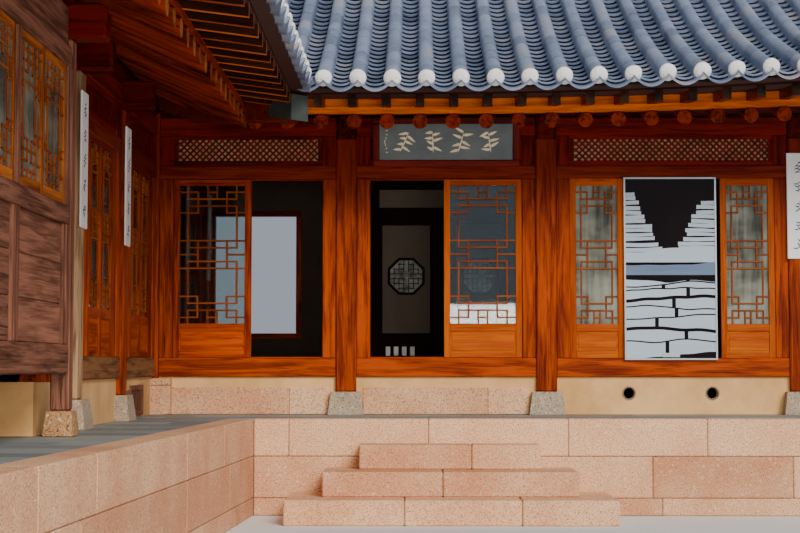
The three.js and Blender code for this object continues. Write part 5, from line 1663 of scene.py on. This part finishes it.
rings = Joinery()
RING = [(0.058, 0), (0.074, 0), (0.072, -0.008), (0.06, -0.008)]
for x, z in VENTS:
    turned_ring(rings, (x, FRONT_Y - 0.044, z), RING)
rings.mark(rings.bm.verts, (1, 0, 0), tone=0.5)
bmesh.ops.remove_doubles(rings.bm, verts=rings.bm.verts, dist=1e-5)
bmesh.ops.recalc_face_normals(rings.bm, faces=rings.bm.faces)
piece("vent_rings", rings.bm, [MORTAR])

work = base_wall("base_wing", [(CORNER_X, y) for y in (FRONT_Y, *WING_POST_Y)])
hatch = WallWork(CORNER_X, 0, (0, 1, 0))
for x0, x1, z0, z1 in ((0.82, 1.52, 0.95, 1.0), (0.82, 1.52, 1.2, 1.25), (0.82, 0.87, 1.0, 1.2),
                       (1.47, 1.52, 1.0, 1.2)):
    hatch.bar((x0, x1), (z0, z1), (-0.065, -0.03), 0.004)
for k in range(3):
    hatch.bar((0.872 + 0.2 * k, 1.066 + 0.2 * k), (1.0, 1.2), (-0.055, -0.03), 0.003)
piece("base_wall_wing", work.bm, [PLINTH_STONE, PLASTER], replaces=["base_wing"])
piece("underfloor_hatch", hatch.bm, [OLD])
print("base walls, vents and hatch done")

# %% [markdown]
# ## Outer walls
# The back, the west side and the gable end are closed. They are posts and rails with plaster
# between them on a granite base, which is how the sides that a visitor rarely sees are built.
# The short end wall of the side wing is boarded.

# %% Plaster panels in timber
STONE_FOOT, STONE_TOP, WALL_SILL_TOP, RAIL = 0.9305, 1.326, 1.524, (2.55, 2.68)
UPPER_BEAM, GABLE_SIDE_TOP = (3.89, 4.0867), 3.8597
THICK, PLASTER_DEPTH, WINDOW_FRAME = 0.06, (-0.045, 0.045), 0.07


def outer_wall(work, start, end, posts, beam, window):
    """Stone base, sill, rails and plaster, between and past the posts."""
    work.bar((start, end), (STONE_FOOT, STONE_TOP), (-THICK, THICK), 0.01, material=2)
    work.bar((start, end), (STONE_TOP, WALL_SILL_TOP), (-THICK - 0.012, THICK + 0.012), 0.008)
    top = beam[0] if beam else GABLE_SIDE_TOP
    if beam:
        work.bar((start, end), beam, (-THICK - 0.01, THICK + 0.01), 0.008)
    edges = sorted([start, *[e for x in posts for e in (x - POST / 2, x + POST / 2)], end])
    for x0, x1 in zip(edges, edges[1:]):
        if x1 - x0 < 0.3:
            continue
        if window and x0 < window[0] < x1:
            window_panels(work, x0, x1, (WALL_SILL_TOP, top), window)
            continue
        work.bar((x0, x1), (WALL_SILL_TOP, top), PLASTER_DEPTH, 0, material=1)
        work.bar((x0, x1), RAIL, (-THICK, THICK), 0.006)
    for x in posts:
        work.bar((x - POST / 2, x + POST / 2), (STONE_FOOT, min(top + 0.19, UPPER_BEAM[1])),
                 (-POST / 2, POST / 2), EDGE, along=(0, 0, 1))


def window_panels(work, x0, x1, tall, window):
    """Plaster and a timber frame round an opening."""
    left, right, low, high = window
    bottom, top = tall
    west, east = left - WINDOW_FRAME, right + WINDOW_FRAME
    below, above = low - WINDOW_FRAME, high + WINDOW_FRAME
    for a, b, c, d in ((x0, west, bottom, top), (east, x1, bottom, top),
                       (west, east, bottom, below), (west, east, above, top)):
        if b - a > 0.01:
            work.bar((a, b), (c, d), PLASTER_DEPTH, 0, material=1)
    for a, b, c, d in ((west, left, low, high), (right, east, low, high),
                       (west, east, below, low), (west, east, high, above)):
        work.bar((a, b), (c, d), (-0.065, 0.065), 0.006)


def room_wall_finish():
    f = Finish("room_wall_paper_painted_shade", 0.85)
    cloud = f.noise(f.place(), 2.0, 3.0, 0.6)
    fibre = f.noise(f.place((40.0, 40.0, 9.0)), 3.0, 3.0, 0.7)
    # painted shade: the wall paper is painted near black, for the shade inside the rooms
    colour = f.mix((0.045, 0.034, 0.025), (0.085, 0.066, 0.050), cloud)
    return f.coat(colour, None, fibre, 0.001, 0.4)


def paper_inside(work, inward):
    """The room side of each plaster panel is papered."""
    for face in work.bm.faces:
        if face.material_index == 1 and face.normal.dot(Vector(inward)) > 0.5:
            face.material_index = 3


WALL_FINISHES = [STAIN, PLASTER, GRANITE, room_wall_finish()]
BACK_WINDOW = (-0.24, 0.84, 1.87, 3.43)


def closed_wall(side, work, ends, posts, inward, also=(), beam=UPPER_BEAM, window=None):
    outer_wall(work, *ends, posts, beam, window)
    paper_inside(work, inward)
    piece(f"panelled_wall_{side}", work.bm, WALL_FINISHES,
          replaces=[f"wall_{side}", *also])


closed_wall("back", WallWork(0, BACK_Y, WEST), (-RIGHT_X, 5.092),
            [-RIGHT_X, -BC_X, -AB_X, -CORNER_X], (0, -1, 0), ["wall_back_right"],
            window=BACK_WINDOW)
closed_wall("west", WallWork(WEST_X, 0, (0, -1, 0)), (-BACK_Y, 2.8647),
            [-BACK_Y, *[-y for y in WING_POST_Y]], (1, 0, 0))
low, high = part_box("wall_right")
closed_wall("right", WallWork(RIGHT_X, 0, (0, 1, 0)), (low[1], high[1]), [], (-1, 0, 0), beam=None)

low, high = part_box("wing_end_wall")
work = WallWork(CORNER_X, 0, (0, 1, 0))
whole, boards_top = (low[1], high[1]), 3.70
work.bar(whole, (STONE_TOP, WALL_SILL_TOP), (-THICK, THICK), 0.006)
work.bar(whole, (boards_top, GABLE_SIDE_TOP), (-THICK, THICK), 0.006)
wide = (high[1] - low[1]) / 6
for k in range(6):
    start = low[1] + k * wide
    work.bar((start + 0.002, start + wide - 0.002), (WALL_SILL_TOP, boards_top), PLASTER_DEPTH,
             0.004)
work.bar((PAVILION_BACK_Y - THICK, PAVILION_BACK_Y + THICK), (STONE_TOP, GABLE_SIDE_TOP),
         (CORNER_X - high[0] + 0.0005, -THICK), 0.004)
piece("boarded_end_wall", work.bm, [STAIN], replaces=["wing_end_wall"])


def finish_solid(node, finish):
    """A solid that shows as it is takes one finish."""
    frame["nodes"][node].data.materials.clear()
    frame["nodes"][node].data.materials.append(finish)


for node in ("gable_main", "gable_wing"):
    finish_solid(node, PLASTER)
print("outer walls done")

# %% [markdown]
# ## Floors
# The floors are long boards. Their solids have the right shape, so they only take a finish: the
# joints between boards are lines on the object's own coordinates, with a tone for each board.

# %% Board floors
def floor_finish(name, dark, light, width, axis):
    f = Finish(name)
    place = f.node("ShaderNodeSeparateXYZ", None, {0: f.place()}, axis)
    board = (place / width).maths("FLOOR", place / width)
    share = place / width - board
    gap = share.step(0.0, 0.02) * (1 - share.step(0.98, 1.0))
    stretch = (1.2, 30.0, 30.0) if axis == "Y" else (30.0, 1.2, 30.0)
    grain = f.noise(f.place(stretch), 1.6, 3.0, 0.6)
    tone = (board * 0.618).maths("FRACT", board * 0.618)
    colour = f.shade(f.mix(dark, light, grain * 0.6 + tone * 0.4), 0.35 + gap * 0.65)
    return f.coat(colour, 0.4 + grain * 0.15, gap, 0.003, 0.5)


FLOOR = floor_finish("floor_boards", (0.24, 0.10, 0.03), (0.50, 0.27, 0.10), 0.16, "Y")
OLD_FLOOR = floor_finish("old_floor_boards", (0.10, 0.05, 0.03), (0.22, 0.13, 0.08), 0.18, "X")
for node, finish in (("floor_main", FLOOR), ("floor_wing", FLOOR), ("floor_pavilion", OLD_FLOOR)):
    finish_solid(node, finish)
print("floors:", FLOOR.name, OLD_FLOOR.name)

# %% [markdown]
# ## Painted boards
# A long board leans out over the middle bay in a dark red frame, and narrow white boards hang on
# three posts. Their brushwork here is a spray of bamboo leaves, a plain pattern of strokes. A
# stroke is a slim outline, thick at its start and pointed at its end, raised by a millimetre.

# %% Brush strokes
def paint_finish(name, colour, worn, roughness=0.6):
    f = Finish(name, roughness)
    spots = f.place()
    cloud = f.noise(spots, 3.5, 4.0, 0.65)
    fine = f.noise(f.place((4.0, 4.0, 60.0)), 2.0, 3.0, 0.6)
    mixed = f.mix(colour, worn, (cloud * 0.7 + fine * 0.3).step(0.35, 0.75) * 0.7)
    return f.coat(mixed, roughness - cloud * 0.12, fine, 0.001, 0.4)


BOARD_GREY = paint_finish("blue_grey_paint", (0.085, 0.108, 0.118), (0.150, 0.180, 0.185), 0.5)
CREAM = paint_finish("cream_paint", (0.80, 0.70, 0.48), (0.66, 0.55, 0.36))
WHITE = paint_finish("white_paint", (0.83, 0.83, 0.82), (0.70, 0.70, 0.69), 0.5)
INK = paint_finish("blue_black_paint", (0.03, 0.05, 0.13), (0.10, 0.12, 0.20))
DARK_RED = timber("dark_red_frame", (0.05, 0.004, 0.003), (0.16, 0.014, 0.008), 0.5, 0.0, 0.45, 0.2)


def stroke_outline(length, wide):
    """Half of the stroke goes out along one side, and the other half comes back."""
    count = 6
    shares = [k / count for k in range(count + 1)]
    side = [(length * t, wide / 2 * (t * (1 - t)) ** 0.5 * (2.4 - 1.7 * t)) for t in shares]
    return side + [(x, -z) for x, z in reversed(side[1:-1])]


def brush(work, x, z, angle, reach, wide, depth, material):
    """One stroke from a point of a board whose face is at a depth."""
    across = (math.cos(angle), 0, math.sin(angle))
    up = (-math.sin(angle), 0, math.cos(angle))
    ends = [(x, depth + 0.0005, z), (x, depth - 0.0012, z)]
    work.stick(stroke_outline(reach, wide), ends, across, up, 0.5, material)


def spray(work, x, z, size, depth, material, lean, leaves=7):
    """A bamboo spray: a stem, and leaves that hang from it to both sides."""
    stem = math.radians(80) + lean
    foot = (x - 0.9 * size * math.cos(stem), z - 0.9 * size * math.sin(stem))
    brush(work, *foot, stem, 1.8 * size, 0.13 * size, depth, material)
    for k in range(leaves):
        share = 1.7 * size * (k + 1) / leaves
        spot = (foot[0] + share * math.cos(stem), foot[1] + share * math.sin(stem))
        side = 1 if k % 2 else -1
        angle = stem - side * math.radians(chance.uniform(60, 125))
        brush(work, *spot, angle, size * chance.uniform(0.55, 0.95), 0.26 * size, depth, material)


BOARD_FOOT, BOARD_TILT = (2.16, FRONT_Y - 0.0803, 3.56), math.radians(12)
BOARD_WIDTH, BOARD_TALL, BOARD_THICK, BOARD_FRAME = 1.56, 0.53, 0.06, 0.075


def name_board():
    work = WallWork(0, 0, EAST)
    work.turn = Matrix.Translation(BOARD_FOOT) @ Matrix.Rotation(BOARD_TILT, 4, "X")
    half, tall, edge = BOARD_WIDTH / 2, BOARD_TALL, BOARD_FRAME
    depth = (-BOARD_THICK, -0.001)
    for z0, z1 in ((0, edge), (tall - edge, tall)):
        work.bar((-half, half), (z0, z1), depth, 0.012)
    for x0 in (-half, half - edge):
        work.bar((x0, x0 + edge), (edge, tall - edge), depth, 0.012)
    face = -BOARD_THICK + 0.02
    work.bar((edge - half, half - edge), (edge, tall - edge), (face, -0.001), 0, material=1)
    for k in range(4):
        spray(work, -0.44 + 0.30 * k, tall / 2, 0.13, face, 2, (-0.25, 0.2, -0.1, 0.3)[k])
    for k in range(8):
        brush(work, -0.64, 0.38 - 0.032 * k, 0.6 - k, 0.026, 0.012, face, 2)
    piece("painted_name_board", work.bm, [DARK_RED, BOARD_GREY, CREAM],
          replaces=["name_board"])


def plaque(node, origin, along, across):
    low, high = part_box(node)
    work = WallWork(*origin, along)
    front = -POST / 2 - 0.0183
    work.bar(across, (low[2], high[2]), (front, -POST / 2 - 0.0003), 0.006, 0.5, 0)
    centre = sum(across) / 2
    for k in range(5):
        z = high[2] - 0.16 - 0.205 * k
        spray(work, centre, z, 0.065, front, 1, 0.35 - 0.17 * k, 6)
    piece(f"painted_{node}", work.bm, [WHITE, INK], replaces=[node])


name_board()
plaque("plaque_right", (0, FRONT_Y), EAST, (RIGHT_X - 0.125, RIGHT_X + 0.125))
for k, y in enumerate(WING_POST_Y):
    plaque(f"plaque_wing_{k + 1}", (CORNER_X, 0), (0, 1, 0), (y - 0.125, y + 0.125))
print("boards painted")

# %% [markdown]
# ## The printed glass panel
# A glass panel in a thin silver frame stands in the third bay. Its print is pale blue-grey on
# dark glass. Here it is a plain landscape: two slopes, mist, a lake and terraced fields. Each is
# a flat film cut along a line that is a sum of a few waves, with dark glass between them.

# %% Printed panel
def print_finish():
    f = Finish("pale_print")
    streaks = f.noise(f.place((1.2, 1.2, 9.0)), 2.0, 3.0, 0.5)
    share = (f.attribute("tone") + streaks * 0.3 - 0.15).step(0.0, 1.0)
    colour = f.mix((0.08, 0.14, 0.25), (0.44, 0.53, 0.62), share)
    return f.coat(colour, 0.3 + f.noise(f.place(), 4.0, 2.0) * 0.15)


SILVER = plain_finish("silver_aluminium", (0.62, 0.65, 0.67), (0.80, 0.82, 0.83),
                      (60.0, 60.0, 2.0), (3.0, 3.0, 0.6), (0.28, 0.15), Metallic=1.0)
PRINT = print_finish()
DARK_GLASS = plain_finish("dark_glass", (0.004, 0.002, 0.002), (0.012, 0.006, 0.006),
                          (1.0, 1.0, 0.5), (3.0, 2.0), (0.05, 0.05), Specular_IOR_Level=0.25)


PANEL_RIM, MIST_TOP, FIELDS_TOP, FIELDS_BOTTOM = 0.02, 2.66, 2.36, 1.66


def wavy(seed, left, swing):
    """A function for a line of a few waves that starts at the left."""
    waves = random.Random(seed)
    terms = [(waves.uniform(0.5, 1.0) / n, n * waves.uniform(2.2, 3.6), waves.uniform(0, TAU))
             for n in (1, 2, 3, 6)]
    return lambda x: swing * sum(a * math.sin(b * (x - left) + c) for a, b, c in terms)


def film(work, left, right, low, high, depth, tone, count=24):
    """A flat film between two lines, given as functions of x."""
    marks = [left + (right - left) * k / count for k in range(count + 1)]
    outline = [(x, low(x)) for x in marks]
    outline += [(x, max(high(x), low(x) + 0.004)) for x in reversed(marks)]
    ends = [(0, depth, 0), (0, depth - 0.0009, 0)]
    work.stick(outline, ends, (1, 0, 0), (0, 0, 1), tone, 2)


def terraces(work, left, right, depth):
    """Pale fields in curved bands, with dark banks between them."""
    z = FIELDS_TOP
    for k in range(9):
        rise = 0.052 + 0.014 * k
        one, other = wavy(60 + k, left, 0.028), wavy(61 + k, left, 0.028)
        under = lambda x: z - rise + other(x)
        over = lambda x: z - (0.014 if k % 3 else 0.034) + one(x)
        gap = left + (right - left) * chance.uniform(0.3, 0.7)
        film(work, left, gap - 0.02, under, over, depth, 0.95, 12)
        film(work, gap + 0.02, right, under, over, depth, 0.85, 12)
        z -= rise
        if z < FIELDS_BOTTOM:
            break


def display_panel():
    low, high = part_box("display_panel")
    work = WallWork(0, FRONT_Y, EAST)
    front, back = low[1] - FRONT_Y, high[1] - FRONT_Y
    left, right = low[0] + PANEL_RIM, high[0] - PANEL_RIM
    bottom, top = low[2] + PANEL_RIM, high[2] - PANEL_RIM
    for ends in ((low[0], left), (right, high[0])):
        work.bar(ends, (low[2], high[2]), (front, back), 0.002)
    for ends in ((low[2], bottom), (top, high[2])):
        work.bar((left, right), ends, (front, back), 0.002)
    work.bar((left, right), (bottom, top), (front + 0.007, back), 0, material=1)
    depth = front + 0.0062
    for k in range(13):
        z, shrink = MIST_TOP + 0.048 * k, 0.9 - 0.055 * k
        line = wavy(20 + k, left, 0.010)
        under, over = (lambda x: z + line(x)), (lambda x: z + 0.041 + line(x))
        reach = (0.40 + chance.uniform(-0.05, 0.05)) * shrink
        film(work, left, left + reach, under, over, depth, 0.85, 8)
        if k < 11:
            reach = (0.44 + chance.uniform(-0.05, 0.05)) * shrink
            film(work, right - reach, right, under, over, depth, 0.95, 8)
    mist = wavy(11, left, 0.03)
    film(work, left, right, lambda x: 2.535, lambda x: MIST_TOP + mist(x), depth - 0.001, 0.9)
    lake = wavy(12, left, 0.02)
    film(work, left, right, lambda x: 2.40, lambda x: 2.52 + lake(x), depth - 0.002, 0.2)
    terraces(work, left, right, depth - 0.001)
    work.bar((left + 0.38, left + 0.56), (low[2] + 0.03, low[2] + 0.075), (front, front + 0.008),
             0.001)
    piece("printed_panel", work.bm, [SILVER, DARK_GLASS, PRINT],
          replaces=["display_panel"])


display_panel()
print("printed panel done")

# %% [markdown]
# ## The papered partition
# Behind the open middle bay stands a near-black partition with two papered doors. Each door has
# an eight-sided window with a fret over a mottled pane. A ring with eight sides is a bar turned
# eight times about the window's centre.

# %% Partition
PARTITION_Y, PARTITION_FACE = 4.32, -0.03
OCTAGON, OCTAGON_Z = 0.24, 2.51
DOOR_X, DOOR_TOP = (1.72, 2.60), 3.18
PLATE_X, PLATE_STEP, PLATE_Z = 1.475, 0.097, (1.56, 1.67)
DOOR_PAPER, DOOR_PAPER_Z, UPPER_PAPER_Z = 0.57, (1.83, 3.12), (3.335, 3.55)


def room_paper():
    f = Finish("grey_paper_painted_shade", 0.8)
    weave = f.noise(f.place((60.0, 60.0, 4.0)), 2.0, 2.0, 0.5)
    cloud = f.noise(f.place(), 2.0, 3.0, 0.6)
    # painted shade: the pale grey paper is painted dark, for the shade inside the room
    colour = f.mix((0.085, 0.068, 0.052), (0.14, 0.115, 0.09), cloud)
    return f.coat(f.shade(colour, 0.9 + weave * 0.2), None, weave, 0.001, 0.4)


def window_pane():
    f = Finish("pale_pane", 0.2)
    cloud = f.noise(f.place(), 5.0, 3.0, 0.6).step(0.35, 0.65)
    return f.coat(f.mix((0.035, 0.045, 0.025), (0.22, 0.24, 0.18), cloud))


LACQUER = plain_finish("black_lacquer", (0.004, 0.001, 0.001), (0.016, 0.003, 0.002),
                       (30.0, 30.0, 2.0), (2.0, 3.0, 0.6), (0.45, 0.15), Specular_IOR_Level=0.1)
ROOM_PAPER, PANE = room_paper(), window_pane()


def octagon(work, x, face):
    """Ring, pane and fret of one window."""
    inner, side = OCTAGON * math.cos(math.pi / 8), OCTAGON * math.sin(math.pi / 8)
    ends = [(x, face + 0.008, OCTAGON_Z), (x, face - 0.001, OCTAGON_Z)]
    work.stick(disc(OCTAGON, 8), ends, (1, 0, 0), (0, 0, 1), 0.5, 2)
    own = work.turn.copy()
    for k in range(8):
        spin = Matrix.Rotation(TAU * k / 8, 4, "Y")
        work.turn = own @ Matrix.Translation((x, 0, OCTAGON_Z)) @ spin
        work.bar((-side, side), (inner - 0.03, inner), (face - 0.016, face), 0.002)
    work.turn = own
    reach = inner - 0.03
    for share in (-0.75, -0.45, -0.15, 0.15, 0.45, 0.75):
        half = min(reach, (OCTAGON * 1.02 - abs(share * reach)) * 0.98)
        z, across = OCTAGON_Z + share * reach, x - share * reach
        for low, high in ((-half, -0.1 * half), (0.25 * half, half)):
            work.bar((x + low, x + high), (z - 0.005, z + 0.005), (face - 0.010, face - 0.002), 0,
                     along=(1, 0, 0))
            work.bar((across - 0.005, across + 0.005), (OCTAGON_Z + low, OCTAGON_Z + high),
                     (face - 0.009, face - 0.002), 0, along=(0, 0, 1))


def partition():
    (x0, _, z0), (x1, _, z1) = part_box("partition")
    work = WallWork(0, PARTITION_Y, EAST)
    face, back = PARTITION_FACE, -PARTITION_FACE
    rail = ((face, face + 0.012), 0.002)
    sheet = ((face + 0.008, face + 0.0125), 0)
    centre = sum(DOOR_X) / 2
    work.bar((x0, x1), (z0, z1), (face + 0.012, back), 0)
    papers = [(x - DOOR_PAPER / 2, x + DOOR_PAPER / 2) for x in DOOR_X]
    upper = (x0 + 0.2, x1 - 0.2)
    for ends in ((x0, papers[0][0]), (papers[0][1], centre - 0.003),
                 (centre + 0.003, papers[1][0]), (papers[1][1], x1)):
        work.bar(ends, (z0, DOOR_TOP), *rail)
    for ends in papers:
        work.bar(ends, (z0, DOOR_PAPER_Z[0]), *rail)
        work.bar(ends, (DOOR_PAPER_Z[1], DOOR_TOP), *rail)
        work.bar(ends, DOOR_PAPER_Z, *sheet, material=1)
    work.bar((x0, x1), (DOOR_TOP + 0.003, UPPER_PAPER_Z[0]), *rail)
    work.bar((x0, x1), (UPPER_PAPER_Z[1], z1), *rail)
    for ends in ((x0, upper[0]), (upper[1], x1)):
        work.bar(ends, UPPER_PAPER_Z, *rail)
    work.bar(upper, UPPER_PAPER_Z, *sheet, material=1)
    for x in DOOR_X:
        octagon(work, x, face + 0.007)
    for k in range(4):
        x = PLATE_X + PLATE_STEP * k
        work.bar((x, x + 0.055), PLATE_Z, (face - 0.006, face), 0.002, material=3)
    piece("papered_partition", work.bm, [LACQUER, ROOM_PAPER, PANE, WHITE],
          replaces=["partition"])


partition()
print("partition done")

# %% [markdown]
# ## Valley and diagonal
# Where the two roofs meet above the courtyard, a gutter of wide trough tiles runs down the
# diagonal, and the cut ends of the tile rows hang over it. Under it, the head of the diagonal
# rafter wears a grey metal cap.

# %% Valley gutter
def valley():
    slope, places, u = Slope("main", -1), [], 0.02
    while u < HALF_SPAN - 0.15:
        here, ahead = (slope.point(HALF_SPAN - v, v, roof_top(v) - 0.052, BODY_LIFT)
                       for v in (u, u + 0.05))
        rise = (ahead - here).normalized()
        level = rise.cross(UP).normalized()
        out = level.cross(rise)
        places.append(stand(level, rise, out, here) @ Matrix.Diagonal((1.25, 1.0, 0.9, 1.0)))
        u += PAN_EXPOSURE / math.sqrt(2) / 1.08
    piece_of("valley_tiles", lay("valley", pan_stock(), places), [TILE])
    print("valley tiles:", len(places))


def metal_cap():
    """The cap on the courtyard end of the diagonal rafter."""
    low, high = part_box("diagonal_rafter")
    tip = Vector((high[0], low[1], 0))
    inward = Vector((-1, 1, 0)).normalized()
    across = Vector((1, 1, 0)).normalized()
    work = Joinery()
    start = tip - inward * 0.03
    z = 3.93
    stations = [start + UP * z, start + inward * 0.34 + UP * (z + 0.06)]
    work.drawn(rectangle(0.106, -0.13, 0.12), stations, across, tone=0.5)
    piece("metal_cap", work.bm, [ZINC])


ZINC = plain_finish("zinc_sheet", (0.045, 0.055, 0.05), (0.10, 0.115, 0.105), (1.0, 1.0, 1.0),
                    (9.0, 4.0, 0.6), (0.5, 0.2), Metallic=0.6)
valley()
metal_cap()
